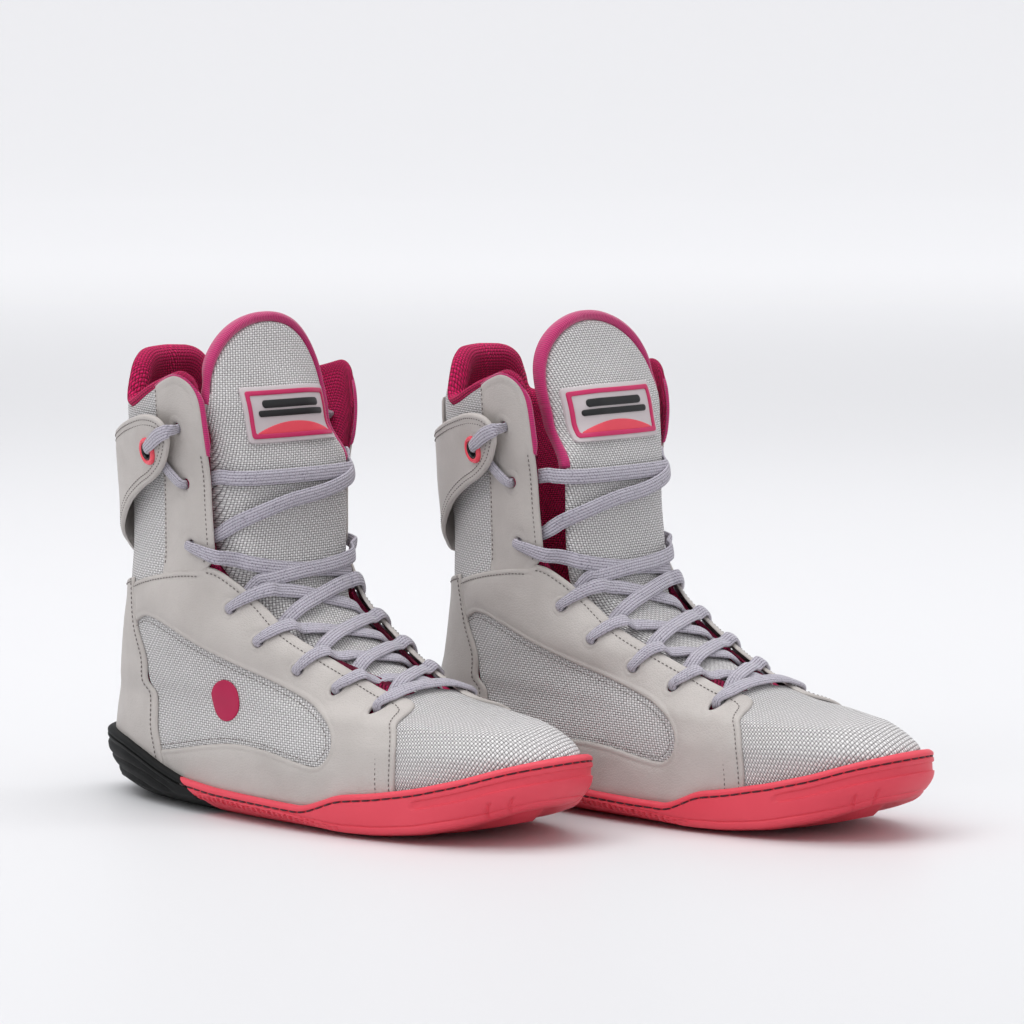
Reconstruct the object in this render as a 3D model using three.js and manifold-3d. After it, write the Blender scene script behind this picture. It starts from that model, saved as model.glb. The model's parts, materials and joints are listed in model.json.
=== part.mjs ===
// A pair of laced boxing boots, one mesh per sub-part. Millimetres, +Z up, +X towards the toes and
// +Y towards the wearer's left. The origin lies under the middle of the pair, at floor level.
//
// Each boot is built in its own frame: x runs forward from the back of the heel, z up from the floor,
// and y is positive on the lateral (outer) side. Every shell of the upper is a layer of one skin.

import * as THREE from 'three';
import { mergeVertices } from 'three/addons/utils/BufferGeometryUtils.js';
import Module from 'manifold-3d';

const wasm = await Module();
wasm.setup();

// ---------------------------------------------------------------- driving dimensions

const leftBootForward = 96;
const bootSpacing = 101.5;
const leftBootTurn = 2;
const upperLength = 266;
const gap = 0.35;
const smallestEdge = 0.02;
// Outlines that run off a piece end here, clear of the boot.
const beyond = { back: -20, toe: 290, side: 90, above: 75 };

// The skin at rising heights: where it starts and ends in x, and its fullness from heel to front.
const stations = [
  { z: 12, back: 3, front: 264, lateral: [46, 36, 56, 52], medial: [34, 24, 54, 50] },
  { z: 24, back: 0, front: 266, lateral: [46, 36, 56, 52], medial: [34, 27, 52, 50] },
  { z: 36, back: 1, front: 266, lateral: [45, 38, 52, 50], medial: [31, 32, 50, 50] },
  { z: 48, back: 4, front: 250, lateral: [44, 40, 46, 44], medial: [28, 36, 46, 44] },
  { z: 54, back: 6, front: 208, lateral: [44.5, 41, 45, 42], medial: [27, 36.5, 45, 42] },
  { z: 60, back: 8, front: 189, lateral: [45, 42, 44, 40], medial: [26, 37, 44, 40] },
  { z: 78, back: 12, front: 146, lateral: [43, 42, 42, 60], medial: [26, 35, 42, 60] },
  { z: 95, back: 15, front: 123, lateral: [41, 40, 42, 60], medial: [27, 36, 42, 60] },
  { z: 115, back: 15, front: 115, lateral: [39, 30, 40, 74], medial: [30, 28, 40, 76] },
  { z: 145, back: 13, front: 113, lateral: [38, 30, 38, 80], medial: [32, 28, 38, 86] },
  { z: 175, back: 11, front: 108, lateral: [38, 28, 44, 94], medial: [34, 26, 44, 100] },
  { z: 190, back: 16, front: 103.6, lateral: [38, 28, 46, 95], medial: [34, 26, 46, 102] },
  { z: 205, back: 23, front: 99, lateral: [38, 28, 48, 96], medial: [34, 26, 48, 104] },
  { z: 230, back: 28, front: 92, lateral: [38, 28, 48, 96], medial: [34, 26, 48, 104] },
];
const roundness = 0.8;

// Layers of the upper, as distances out of the skin.
const leather = [0, -1.2];
const mesh = [-1.6, -2.6];
const lining = [-3, -4.8];
const collarPad = -7.6;
const strapLift = 5;
const strapLiftBack = 2.6;
const strapThickness = 1.4;
const backTab = { layer: [2.2, 1], halfWidth: 9, bottom: 158, top: 174 };
const sideMarkPlace = { centre: [104, 51], radius: 9, thickness: 1, lift: 1.4 };
const toePuffStart = 236;

// Tongue: offsets from the skin at its crest and sides, and its padded top that folds at the hinge.
const tongueCrest = -5.4;
const tongueSide = -13.2;
const tongueThickness = 3;
const tongueBack = 84;
const hingeHeight = 160;
const tongueBody = { halfWidth: 33, apex: 213.5 };
const tongueRim = { halfWidth: 38, apex: 218, thickness: 0.5 };
const tongueArchRise = 36;
const tonguePatch = { halfWidth: 28, bottom: 163, top: 187.5, thickness: 1.4 };

// Sole.
const soleFloor = 7.2;
const toeSpringStart = 205;
const soleWall = 2.4;
const treadInset = 16;
// Heights along the sole, as x and z: its lip, the lower edge of its wall, and its tread.
const lipLine = [[-10, 29], [10, 28.8], [30, 26.5], [43, 23.4], [60, 18.4], [75, 14.8], [100, 12.9],
  [150, 11.5], [160, 11.3], [170, 14.5], [180, 18.2], [200, 20.7], [220, 24.3], [240, 29.6], [255, 35],
  [275, 41]];
const wallFoot = [[-10, 9], [15, 7.5], [40, 6.2], [100, 6.4], [140, 5], [160, 3.8], [180, 2.3], [200, 3],
  [220, 5.1], [240, 9.5], [252, 12.8], [266, 17.5]];
const treadLine = [[-10, 3], [12, 0], [195, 0], [220, 2.6], [240, 6.8], [266, 14.5]];
const lipStep = { start: 150, end: 214, medialShift: 12 };
const upperBottom = soleFloor + 0.6;
const soleClearance = 0.9;
const boardThickness = 2;
const floorRiseAtPuff = 3.4;
const floorRiseAtToe = 21;
const sockThickness = 3.5;

// Lacing: the holes from the toe up, each as x and z on the skin.
const eyelets = [[185, 54.5], [162.5, 60.3], [142.5, 67], [122.3, 78], [103, 91], [83.4, 120], [80.6, 144],
  [80.2, 168.5]];
const eyeletRadius = 2.9;
const laceRadius = 1.5;
const laceOver = 3;
const laceUnder = -7.8;
const laceLow = -1.2;
const laceHigh = 2.3;
const edgeShare = 0.19;
const flapHoles = 5;
const flapEdge = 99;
const grommetCentre = [56, 158.5];
// Radius and height of a grommet: a barrel through the strap under a flat flange.
const grommetProfile = [[2.8, 0], [3.4, 0], [3.4, 2.9], [6.6, 2.9], [5.8, 3.9], [2.8, 3.9], [2.8, 0]];
const strapHoleRadius = 3.9;
const agletLength = 16;

// Where the black heel of the sole meets its coral front, as x and z from the bottom up.
const heelBoundary = [[108, -4], [93, 6.5], [75, 15], [75, 34]];

// ---------------------------------------------------------------- the skin

const slopeCache = new Map();

function read(station, key, index) {
  return index === undefined ? station[key] : station[key][index];
}

function slopes(key, index) {
  const name = key + index;
  if (!slopeCache.has(name)) {
    const secants = stations.slice(1).map((next, i) => {
      const before = stations[i];
      return (read(next, key, index) - read(before, key, index)) / (next.z - before.z);
    });
    const inner = secants.slice(1).map((next, i) => {
      const before = secants[i];
      return next * before > 0 ? (2 * next * before) / (next + before) : 0;
    });
    slopeCache.set(name, [secants[0], ...inner, secants[secants.length - 1]]);
  }
  return slopeCache.get(name);
}

// A smooth value at a height, without overshoot between stations.
function atHeight(z, key, index) {
  const last = stations.length - 2;
  const clamped = Math.min(Math.max(z, stations[0].z), stations[last + 1].z);
  let i = 0;
  while (i < last && stations[i + 1].z < clamped) i += 1;
  const width = stations[i + 1].z - stations[i].z;
  const s = (clamped - stations[i].z) / width;
  const slope = slopes(key, index);
  const start = read(stations[i], key, index);
  const end = read(stations[i + 1], key, index);
  return start * (1 + 2 * s) * (1 - s) ** 2 + end * s * s * (3 - 2 * s)
    + width * (slope[i] * s * (1 - s) ** 2 - slope[i + 1] * s * s * (1 - s));
}

// turn goes from 0 at the heel to 1 at the front on the lateral side, and from 0 to -1 on the medial.
function skinBase(turn, z) {
  const wrapped = turn > 1 ? turn - 2 : turn < -1 ? turn + 2 : turn;
  const share = Math.abs(wrapped);
  const side = wrapped < 0 ? 'medial' : 'lateral';
  const back = atHeight(z, 'back');
  const front = atHeight(z, 'front');
  const rest = 1 - share;
  const fullness = atHeight(z, side, 0) * rest ** 3 + 3 * atHeight(z, side, 1) * rest * rest * share
    + 3 * atHeight(z, side, 2) * rest * share * share + atHeight(z, side, 3) * share ** 3;
  const x = (back + front) / 2 - ((front - back) / 2) * Math.cos(Math.PI * share);
  const y = Math.sign(wrapped) * fullness * Math.max(Math.sin(Math.PI * share), 0) ** roundness;
  return new THREE.Vector3(x, y, z);
}

function skinNormal(turn, z) {
  const step = 0.02;
  const along = skinBase(turn + step, z).sub(skinBase(turn - step, z));
  const up = skinBase(turn, z + 1).sub(skinBase(turn, z - 1));
  return up.cross(along).normalize();
}

function skin(turn, z, offset = 0) {
  return skinBase(turn, z).addScaledVector(skinNormal(turn, z), offset);
}

function turnAt(x, z, side) {
  const back = atHeight(z, 'back');
  const front = atHeight(z, 'front');
  const cosine = ((back + front) / 2 - x) / ((front - back) / 2);
  return (side * Math.acos(THREE.MathUtils.clamp(cosine, -1, 1))) / Math.PI;
}

function onSkin([x, z], side, offset = 0) {
  return skin(turnAt(x, z, side), z, offset);
}

function isInside(point) {
  if (point.x <= atHeight(point.z, 'back') || point.x >= atHeight(point.z, 'front')) return false;
  const side = point.y < 0 ? -1 : 1;
  return Math.abs(point.y) < Math.abs(skinBase(turnAt(point.x, point.z, side), point.z).y);
}

// ---------------------------------------------------------------- solids

const columns = [0, 0.09, 0.2, 0.34, 0.5, 0.64, 0.75, 0.84, 0.92, 1];
const turns = [...columns, ...columns.slice(1, -1).reverse().map((share) => -share)];
const levels = [2, 20, 38, 50, 55, 60, 73, 94, 122, 160, 180, 205, 228];

function toSolid(geometry) {
  const bare = geometry.index ? geometry.toNonIndexed() : geometry.clone();
  bare.deleteAttribute('normal');
  bare.deleteAttribute('uv');
  const merged = mergeVertices(bare, 1e-4);
  return new wasm.Manifold(new wasm.Mesh({
    numProp: 3,
    vertProperties: new Float32Array(merged.attributes.position.array),
    triVerts: new Uint32Array(merged.index.array),
  }));
}

function toGeometry(solid) {
  const { vertProperties, triVerts, numProp } = solid.getMesh();
  const positions = new Float32Array((vertProperties.length / numProp) * 3);
  for (let i = 0; i < positions.length / 3; i += 1) {
    for (let k = 0; k < 3; k += 1) positions[3 * i + k] = vertProperties[numProp * i + k];
  }
  const geometry = new THREE.BufferGeometry();
  geometry.setAttribute('position', new THREE.BufferAttribute(positions, 3));
  geometry.setIndex(new THREE.BufferAttribute(new Uint32Array(triVerts), 1));
  geometry.computeVertexNormals();
  return geometry;
}

// A solid from closed rings of equal length, heel first and then round by the lateral side.
function ringSolid(rings) {
  const count = rings[0].length;
  const half = count / 2;
  const triangles = [];
  for (let i = 0; i + 1 < rings.length; i += 1) {
    for (let j = 0; j < count; j += 1) {
      const a = i * count + j;
      const d = i * count + ((j + 1) % count);
      triangles.push(a, a + count, d + count, a, d + count, d);
    }
  }
  const addCap = (base, flip) => {
    const put = (a, b, c) => triangles.push(base + a, base + (flip ? c : b), base + (flip ? b : c));
    put(0, 1, count - 1);
    for (let j = 1; j + 1 < half; j += 1) {
      put(j, j + 1, count - j - 1);
      put(j, count - j - 1, count - j);
    }
    put(half - 1, half, half + 1);
  };
  addCap(0, false);
  addCap((rings.length - 1) * count, true);
  const geometry = new THREE.BufferGeometry();
  const positions = rings.flat().flatMap((point) => point.toArray());
  geometry.setAttribute('position', new THREE.Float32BufferAttribute(positions, 3));
  geometry.setIndex(triangles);
  return toSolid(geometry);
}

// Everything within the skin moved out by offset, which is a number or a function of turn and height.
function volume(offset, reach = 0) {
  const distance = typeof offset === 'function' ? offset : () => offset;
  const rings = levels.map((z) => turns.map((turn) => skin(turn, z, distance(turn, z))));
  for (const point of rings[0]) point.z -= reach;
  for (const point of rings[rings.length - 1]) point.z += reach;
  return ringSolid(rings);
}

function layer(outer, inner) {
  return volume(outer).subtract(volume(inner, 8));
}

// An outline of corners, where an entry may itself be a list of corners.
function outlineShape(corners) {
  const points = corners.flatMap((corner) => (Array.isArray(corner[0]) ? corner : [corner]));
  return new THREE.Shape(withoutStraightPoints(points.map(([u, v]) => new THREE.Vector2(u, v))));
}

// Drops points that lie on the line between their neighbours, or on top of one.
function withoutStraightPoints(points) {
  return points.filter((point, i) => {
    const before = points[(i + points.length - 1) % points.length];
    const after = points[(i + 1) % points.length];
    const turned = (point.x - before.x) * (after.y - point.y) - (point.y - before.y) * (after.x - point.x);
    return Math.abs(turned) > 1e-3;
  });
}

function extrude(corners, depth) {
  return new THREE.ExtrudeGeometry(outlineShape(corners), { depth, bevelEnabled: false });
}

// Extrudes an outline of x and z across the boot, between two values of y.
function across(corners, from = -beyond.side, to = beyond.side) {
  const geometry = extrude(corners, to - from);
  geometry.rotateX(Math.PI / 2);
  geometry.translate(0, to, 0);
  return toSolid(geometry);
}

// Extrudes an outline of y and z forward, between two values of x.
function forward(corners, from, to) {
  const geometry = extrude(corners, to - from);
  geometry.rotateY(Math.PI / 2);
  geometry.rotateX(Math.PI / 2);
  geometry.translate(from, 0, 0);
  return toSolid(geometry);
}

function half(side) {
  return side > 0 ? [gap / 2, beyond.side] : [-beyond.side, -gap / 2];
}

// A lathe solid or cylinder standing along the skin's normal at a place on one side.
function alongNormal(geometry, place, side, offset) {
  const turn = turnAt(...place, side);
  const normal = skinNormal(turn, place[1]);
  const turned = new THREE.Quaternion().setFromUnitVectors(new THREE.Vector3(0, 1, 0), normal);
  geometry.applyQuaternion(turned);
  geometry.translate(...skin(turn, place[1], offset).toArray());
  return toSolid(geometry);
}

function drillHoles(solid, places, side) {
  let drilled = solid;
  for (const place of places) {
    const drill = new THREE.CylinderGeometry(eyeletRadius, eyeletRadius, 14, 5);
    drilled = drilled.subtract(alongNormal(drill, place, side, -2));
  }
  return drilled;
}

// ---------------------------------------------------------------- outlines, as x and z from the side

const counterSeam = [[38, 96], [42, 78], [48, 64], [50, 50], [53, 36], [57, 24], [63, 12]];
const throatEdge = [[92, 107], [101, 105.5], [108, 101], [114, 95], [128, 84.5], [144, 76], [163, 67.5],
  [179, 61], [193, 56.5]];
const quarterFront = [[193, 56.5], [203, 46], [207, 33], [208, 14]];
const liningFront = [[74, 188], [74, 116], [94, 88], [116, 71], [138, 60], [160, 53], [190, 46]];
const windowEdge = [[40, 84], [58, 84], [71, 80], [89, 74], [111, 67], [137, 60], [155, 54], [167, 47],
  [171, 38], [168, 30], [160, 28], [150, 30], [131, 33], [112, 33], [93, 30], [71, 26], [57, 24]];
// The collar dips on both sides of the raised pad over the heel tendon.
const collarLine = [[84, 192], [66, 187], [50, 181], [38, 176.5], [28.5, 174.5], [25.5, 181], [24.2, 190],
  [21, 196.5], [10, 198], [-20, 198]];
const liningTop = [[66, 188], [50, 184.5], [38, 180], [31, 178.5], [28, 184], [26.5, 192], [22.5, 199],
  [10, 200.5], [-20, 200.5]];
const flapFront = [[99, 108.5], [99.5, 140], [99.5, 166], [98, 178], [94, 187], [84, 192]];
const flapBack = 64.5;
const strapEdge = [[-6, 161], [18, 161], [41, 169], [60, 173.5], [72, 173], [77.3, 169], [75.5, 161],
  [70, 152], [62, 146], [42, 135], [30, 124], [18, 112], [-6, 108]];
const tongueRear = [[85, 158], [85, 112], [96, 97], [116, 79], [140, 67], [165, 56], [180, 48]];

function moved(points, dx, dz) {
  return points.map(([x, z]) => [x + dx, z + dz]);
}

function reversed(points) {
  return [...points].reverse();
}

// ---------------------------------------------------------------- sole

function heightAlong(marks, x) {
  let i = 0;
  while (i < marks.length - 2 && marks[i + 1][0] < x) i += 1;
  const share = (x - marks[i][0]) / (marks[i + 1][0] - marks[i][0]);
  return THREE.MathUtils.lerp(marks[i][1], marks[i + 1][1], THREE.MathUtils.clamp(share, 0, 1));
}

// The height of the sole's lip, whose step up to the forefoot comes later on the medial side.
function lipHeight(x, side) {
  const { start, end, medialShift } = lipStep;
  if (side >= 0 || x < start || x > end) return heightAlong(lipLine, x);
  const stretch = (end - start) / (end - start - medialShift);
  return heightAlong(lipLine, Math.max(start, end - (end - x) * stretch));
}

// The line of the sole's inner floor, raised by some distance, from the heel to beyond the toe.
function floorLine(rise) {
  const height = soleFloor + rise;
  return [[beyond.back, height], [toeSpringStart, height], [toePuffStart - 1, height + floorRiseAtPuff],
    [beyond.toe, height + floorRiseAtToe]];
}

function slab(rise, thickness) {
  return [floorLine(rise), reversed(floorLine(rise + thickness))];
}

function outsole() {
  const flat = (turn, z, offset, height) => {
    const point = skin(turn, z, offset);
    point.z = height(point);
    return point;
  };
  const lip = (point) => lipHeight(point.x, point.y);
  const foot = (point) => heightAlong(wallFoot, point.x);
  // The wall leans in towards its foot at the heel and the toe.
  const footOffset = (turn) => {
    const { x } = skinBase(turn, 12);
    const { smoothstep } = THREE.MathUtils;
    return 2.8 - 3.8 * (1 - smoothstep(x, 0, 45)) - 5.6 * smoothstep(x, 232, upperLength);
  };
  const rings = [
    turns.map((turn) => flat(turn, 12, -treadInset, (p) => heightAlong(treadLine, p.x))),
    turns.map((turn) => flat(turn, 12, footOffset(turn), foot)),
    turns.map((turn) => flat(turn, 20, 3.9, (p) => (foot(p) + lip(p)) / 2)),
    turns.map((turn) => flat(turn, lip(skinBase(turn, 24)), soleWall + 1, (p) => lip(p) - 1)),
    turns.map((turn) => flat(turn, lip(skinBase(turn, 24)), soleWall, lip)),
  ];
  const well = volume(0.4).intersect(across(slab(0, 120)));
  return ringSolid(rings).subtract(well);
}

// ---------------------------------------------------------------- tongue

// The tongue lies deep under the flaps and rises to its crest between them.
function tongueOffset(extra) {
  return (turn, z) => {
    const reach = THREE.MathUtils.lerp(21, 40, THREE.MathUtils.smoothstep(z, 145, 165));
    const share = THREE.MathUtils.smoothstep(Math.abs(skinBase(turn, z).y), 8, reach);
    return THREE.MathUtils.lerp(tongueCrest, tongueSide, share) + extra;
  };
}

// The rounded top of the tongue from the front, standing on a straight bottom.
function tongueArch(halfWidth, apex, bottom) {
  const arch = [];
  for (let i = 1; i < 8; i += 1) {
    const angle = (Math.PI * i) / 8;
    const squared = Math.sin(angle) ** 0.85;
    arch.push([halfWidth * Math.cos(angle), apex - tongueArchRise * (1 - squared)]);
  }
  return [[-halfWidth, bottom], [halfWidth, bottom], arch];
}

// ---------------------------------------------------------------- lace

// A point between two holes, pushed out of the skin across the throat.
function overThroat(start, end, share, outward, offset) {
  const point = start.clone().lerp(end, share);
  if (!isInside(point)) point.addScaledVector(outward, -6);
  let near = 0;
  let far = 60;
  for (let i = 0; i < 30; i += 1) {
    const middle = (near + far) / 2;
    if (isInside(point.clone().addScaledVector(outward, middle))) near = middle;
    else far = middle;
  }
  point.addScaledVector(outward, near);
  return onSkin([point.x, point.z], point.y < 0 ? -1 : 1, offset);
}

function crossing(index, side, isHigh) {
  const next = index + 1;
  const start = onSkin(eyelets[index], side);
  const end = onSkin(eyelets[next], -side);
  const [lowX, lowZ] = eyelets[index];
  const [highX, highZ] = eyelets[next];
  const along = new THREE.Vector3(highX - lowX, 0, highZ - lowZ);
  const outward = new THREE.Vector3(along.z, 0, -along.x).normalize();
  const centre = isHigh ? laceHigh : laceLow;
  const endsUnder = next === 6;
  const between = (share, offset) => overThroat(start, end, share, outward, offset);
  // The quarter's edge follows the throat; the flap's edge is upright, round the corner of the shaft.
  const atEdge = (hole, share, offset) => {
    if (hole < flapHoles) return between(share, offset);
    const height = THREE.MathUtils.lerp(lowZ, highZ, share);
    return onSkin([flapEdge, height], share < 0.5 ? side : -side, offset);
  };
  const points = [
    atEdge(index, edgeShare, laceUnder),
    between(0.29, -5.6),
    between(0.4, centre),
    between(0.6, centre),
    between(0.71, endsUnder ? -5.6 : 0.8),
    atEdge(next, 1 - edgeShare, endsUnder ? laceUnder : laceOver),
  ];
  if (next < flapHoles) points.push(between(1 - edgeShare / 2, laceOver));
  return points;
}

function throughHole(index, side, inward) {
  const points = [laceOver, laceUnder].map((offset) => onSkin(eyelets[index], side, offset));
  return inward ? points : points.reverse();
}

// From hole 7 behind the strap, out through its grommet, over its edge and in at hole 8.
function aroundStrap(side) {
  const [ringX, ringZ] = grommetCentre;
  const over = strapLift + strapThickness + 4.2;
  const stops = [
    [73, 148.5, 2.7], [64, 154, 2.7], [58.5, 157.3, 2.7], [ringX + 0.1, ringZ, strapLift - 1.2],
    [ringX, ringZ, over - 2], [ringX + 1.2, ringZ + 0.6, over], [ringX + 5, ringZ + 2.4, over + 0.4],
    [68, 165.2, over - 0.6], [76, 168.3, over - 1.6], [80, 168.6, over - 5],
  ];
  return stops.map(([x, z, offset]) => onSkin([x, z], side, offset));
}

function tail(side) {
  const stops = [[77, 164], [73.5, 155], [70.5, 146], [68.5, 136]];
  return stops.map((stop) => onSkin(stop, side, laceUnder));
}

// One strand from the straight bar at the toe up to its end inside the shaft.
function strand(startSide, highSide) {
  const points = [];
  let side = startSide;
  for (let index = 0; index < 6; index += 1) {
    points.push(...throughHole(index, side, true), ...crossing(index, side, side === highSide));
    side = -side;
  }
  points.push(...throughHole(6, side, false), ...aroundStrap(side));
  points.push(...throughHole(7, side, true).slice(1), ...tail(side));
  return points;
}

function laceRoute(highSide) {
  const start = onSkin(eyelets[0], 1);
  const end = onSkin(eyelets[0], -1);
  const outward = new THREE.Vector3(0.3, 0, 0.95).normalize();
  const bar = [0.2, 0.4, 0.6, 0.8].map((share) => overThroat(start, end, share, outward, 1.9));
  return [...strand(1, highSide).reverse(), ...bar, ...strand(-1, highSide)];
}

// Steps evenly from one route point to the next, so that tight turns keep their own sections.
class RouteCurve extends THREE.CatmullRomCurve3 {
  getUtoTmapping(u) {
    return u;
  }
}

function laceTube(route) {
  const section = new THREE.Shape();
  const sides = 6;
  for (let i = 0; i < sides; i += 1) {
    const angle = (2 * Math.PI * i) / sides;
    section[i ? 'lineTo' : 'moveTo'](laceRadius * Math.cos(angle), laceRadius * Math.sin(angle));
  }
  const curve = new RouteCurve(route, false, 'centripetal');
  const options = { steps: route.length - 1, extrudePath: curve, bevelEnabled: false };
  return toSolid(new THREE.ExtrudeGeometry(section, options));
}

function aglet(route) {
  const end = route[route.length - 1];
  const direction = end.clone().sub(route[route.length - 2]).normalize();
  const geometry = new THREE.CylinderGeometry(laceRadius, laceRadius, agletLength, 8);
  geometry.applyQuaternion(new THREE.Quaternion().setFromUnitVectors(new THREE.Vector3(0, 1, 0), direction));
  geometry.translate(...end.clone().addScaledVector(direction, gap + agletLength / 2).toArray());
  return toSolid(geometry);
}

// ---------------------------------------------------------------- materials

function finish(color, roughness, metalness = 0) {
  return new THREE.MeshStandardMaterial({ color, roughness, metalness });
}

const materials = {
  leather: finish('#c9c5c0', 0.55),
  mesh: finish('#d5d4d2', 0.85),
  lining: finish('#b3124f', 0.9),
  binding: finish('#c0156a', 0.8),
  coral: finish('#f0606a', 0.5),
  black: finish('#1e2022', 0.5),
  board: finish('#b9a888', 0.9),
  stiffener: finish('#e6e2da', 0.7),
  lace: finish('#a9a6b0', 0.85),
  patch: finish('#f2f0f0', 0.45),
  ring: finish('#e0404c', 0.35),
  motif: finish('#b8124c', 0.5),
};

// ---------------------------------------------------------------- one boot

// The lining is padded around the collar, behind the flaps.
function liningInside(turn, z) {
  const height = THREE.MathUtils.smoothstep(z, 140, 165);
  const behindFlaps = 1 - THREE.MathUtils.smoothstep(Math.abs(turn), 0.41, 0.54);
  return THREE.MathUtils.lerp(lining[1], collarPad, height * behindFlaps);
}

function upperParts(add) {
  const leatherShell = layer(...leather);
  const meshShell = layer(...mesh);
  const liningShell = layer(...lining);
  const bottom = upperBottom;

  const quarterOutline = [[38.4, 96.9], [64, 102.6], throatEdge, quarterFront, [207, bottom], [65, bottom],
    moved(reversed(counterSeam), gap, 0)];
  const windowOutline = [[30, 84], windowEdge, [30, 22]];
  const windowPanel = [[38, 87], [60, 87], [92, 77], [138, 63.5], [158, 57.5], [171, 50], [175, 38],
    [171, 26], [150, 25.5], [110, 28.5], [66, 20], [52, 22], [46, 50]];
  const meshFront = 67.5;
  const meshOutline = [[-20, 94.6], [meshFront, 103.4], [meshFront, 186.5],
    moved(collarLine.slice(1), 0, -0.6)];
  const flapOutline = [[flapBack, 103.6], [99, 108.6], flapFront, collarLine.slice(0, 2), [flapBack, 186]];

  for (const [name, side] of [['lateral', 1], ['medial', -1]]) {
    const quarter = leatherShell.intersect(across(quarterOutline, ...half(side)))
      .subtract(across(windowOutline, ...half(side)));
    add(`quarter_${name}`, drillHoles(quarter, eyelets.slice(0, 5), side), materials.leather);
    add(`window_mesh_${name}`, meshShell.intersect(across(windowPanel, ...half(side))), materials.mesh);
    add(`shaft_mesh_${name}`, meshShell.intersect(across(meshOutline, ...half(side))), materials.mesh);
    const flap = leatherShell.intersect(across(flapOutline, ...half(side)));
    add(`shaft_flap_${name}`, drillHoles(flap, eyelets.slice(5), side), materials.leather);
  }

  const counterOutline = [[-20, bottom], [64, bottom], reversed(counterSeam), [38, 96.4], [-20, 93.4]];
  add('heel_counter', leatherShell.intersect(across(counterOutline)), materials.leather);
  const stiffenerOutline = [[-20, bottom], [44, bottom], [44, 24], [40, 44], [28, 58], [-20, 62]];
  add('heel_stiffener', meshShell.intersect(across(stiffenerOutline)), materials.stiffener);

  const { toe, above } = beyond;
  const bottomAtPuff = bottom + floorRiseAtPuff;
  const bottomAtToe = bottom + floorRiseAtToe;
  const vampOutline = [[202, bottom], [202, 38], [196, 46], [186, 56], [186, above], [toe, above],
    [toe, bottomAtToe], [toePuffStart - 1, bottomAtPuff], [toeSpringStart, bottom]];
  add('vamp', meshShell.intersect(across(vampOutline)), materials.mesh);
  const puffOutline = [[toePuffStart, bottomAtPuff + 0.1], [toePuffStart, above], [toe, above],
    [toe, bottomAtToe + 0.1]];
  add('toe_puff', liningShell.intersect(across(puffOutline)), materials.stiffener);

  const liningEnd = toePuffStart - gap;
  const liningOutline = [[-20, bottom], [toeSpringStart, bottom], [liningEnd, bottomAtPuff],
    [liningEnd, above], [190, above], reversed(liningFront), liningTop];
  add('collar_lining', layer(lining[0], liningInside).intersect(across(liningOutline)), materials.lining);

  const { halfWidth, bottom: tabBottom, top: tabTop } = backTab;
  const tabOutline = [[-halfWidth, tabBottom], [halfWidth, tabBottom], [halfWidth, tabTop],
    [-halfWidth, tabTop]];
  const tab = layer(...backTab.layer).intersect(forward(tabOutline, beyond.back, 30));
  add('back_tab', tab, materials.leather);

  const board = volume(-5.4).intersect(across(slab(soleClearance, boardThickness)));
  add('insole_board', board, materials.board);
  const sock = volume(-5.6).intersect(across(slab(soleClearance + boardThickness + gap, sockThickness)));
  add('sockliner', sock, materials.lining);
}

function soleParts(add) {
  const whole = outsole();
  const { back, toe, above } = beyond;
  const heel = [[back, -4], heelBoundary, [back, 34]];
  add('outsole_heel', whole.intersect(across(heel)), materials.black);
  const forefoot = [[toe, -4], [toe, above], moved(reversed(heelBoundary), gap, 0)];
  add('outsole_forefoot', whole.intersect(across(forefoot)), materials.coral);
}

function strapParts(add) {
  const lifted = (extra) => (turn) => {
    const share = THREE.MathUtils.smoothstep(Math.abs(turn), 0.05, 0.4);
    return THREE.MathUtils.lerp(strapLiftBack, strapLift, share) + extra;
  };
  const strapShell = layer(lifted(strapThickness), lifted(0));
  for (const [name, side] of [['lateral', 1], ['medial', -1]]) {
    const cylinder = new THREE.CylinderGeometry(strapHoleRadius, strapHoleRadius, 12, 12);
    const drill = alongNormal(cylinder, grommetCentre, side, strapLift);
    const strap = strapShell.intersect(across(strapEdge, ...half(side))).subtract(drill);
    add(`strap_${name}`, strap, materials.leather);
    const profile = grommetProfile.map(([u, v]) => new THREE.Vector2(u, v));
    const grommet = alongNormal(new THREE.LatheGeometry(profile, 12), grommetCentre, side, strapLift - 0.6);
    add(`grommet_${name}`, grommet, materials.ring);
  }
}

function tongueParts(add) {
  const shell = layer(tongueOffset(0), tongueOffset(-tongueThickness));
  const fold = gap / 2;
  const lowerTop = hingeHeight - fold;
  const lowerOutline = [[190, 50], [190, 80], [140, 130], [140, lowerTop], [85, lowerTop], tongueRear];
  add('tongue_lower', shell.intersect(across(lowerOutline)), materials.mesh);
  const body = tongueArch(tongueBody.halfWidth, tongueBody.apex, hingeHeight + fold);
  add('tongue_top', shell.intersect(forward(body, tongueBack, beyond.side * 2)), materials.mesh);

  const { halfWidth, apex, thickness } = tongueRim;
  const hem = layer(tongueOffset(thickness), tongueOffset(-tongueThickness - thickness));
  const rim = tongueArch(halfWidth, apex, hingeHeight + fold);
  const hole = tongueArch(tongueBody.halfWidth + gap, tongueBody.apex + gap, hingeHeight);
  const whole = hem.intersect(forward(rim, tongueBack - 10, beyond.side * 2));
  add('tongue_binding', whole.subtract(forward(hole, 50, 200)), materials.binding);

  const { bottom, top } = tonguePatch;
  const patchHalf = tonguePatch.halfWidth;
  const patchOutline = [[-patchHalf, bottom], [patchHalf, bottom], [patchHalf, top], [-patchHalf, top]];
  const patchShell = layer(tongueOffset(gap + tonguePatch.thickness), tongueOffset(gap));
  const patch = patchShell.intersect(forward(patchOutline, tongueBack, beyond.side * 2));
  add('tongue_patch', patch, materials.patch);
}

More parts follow.
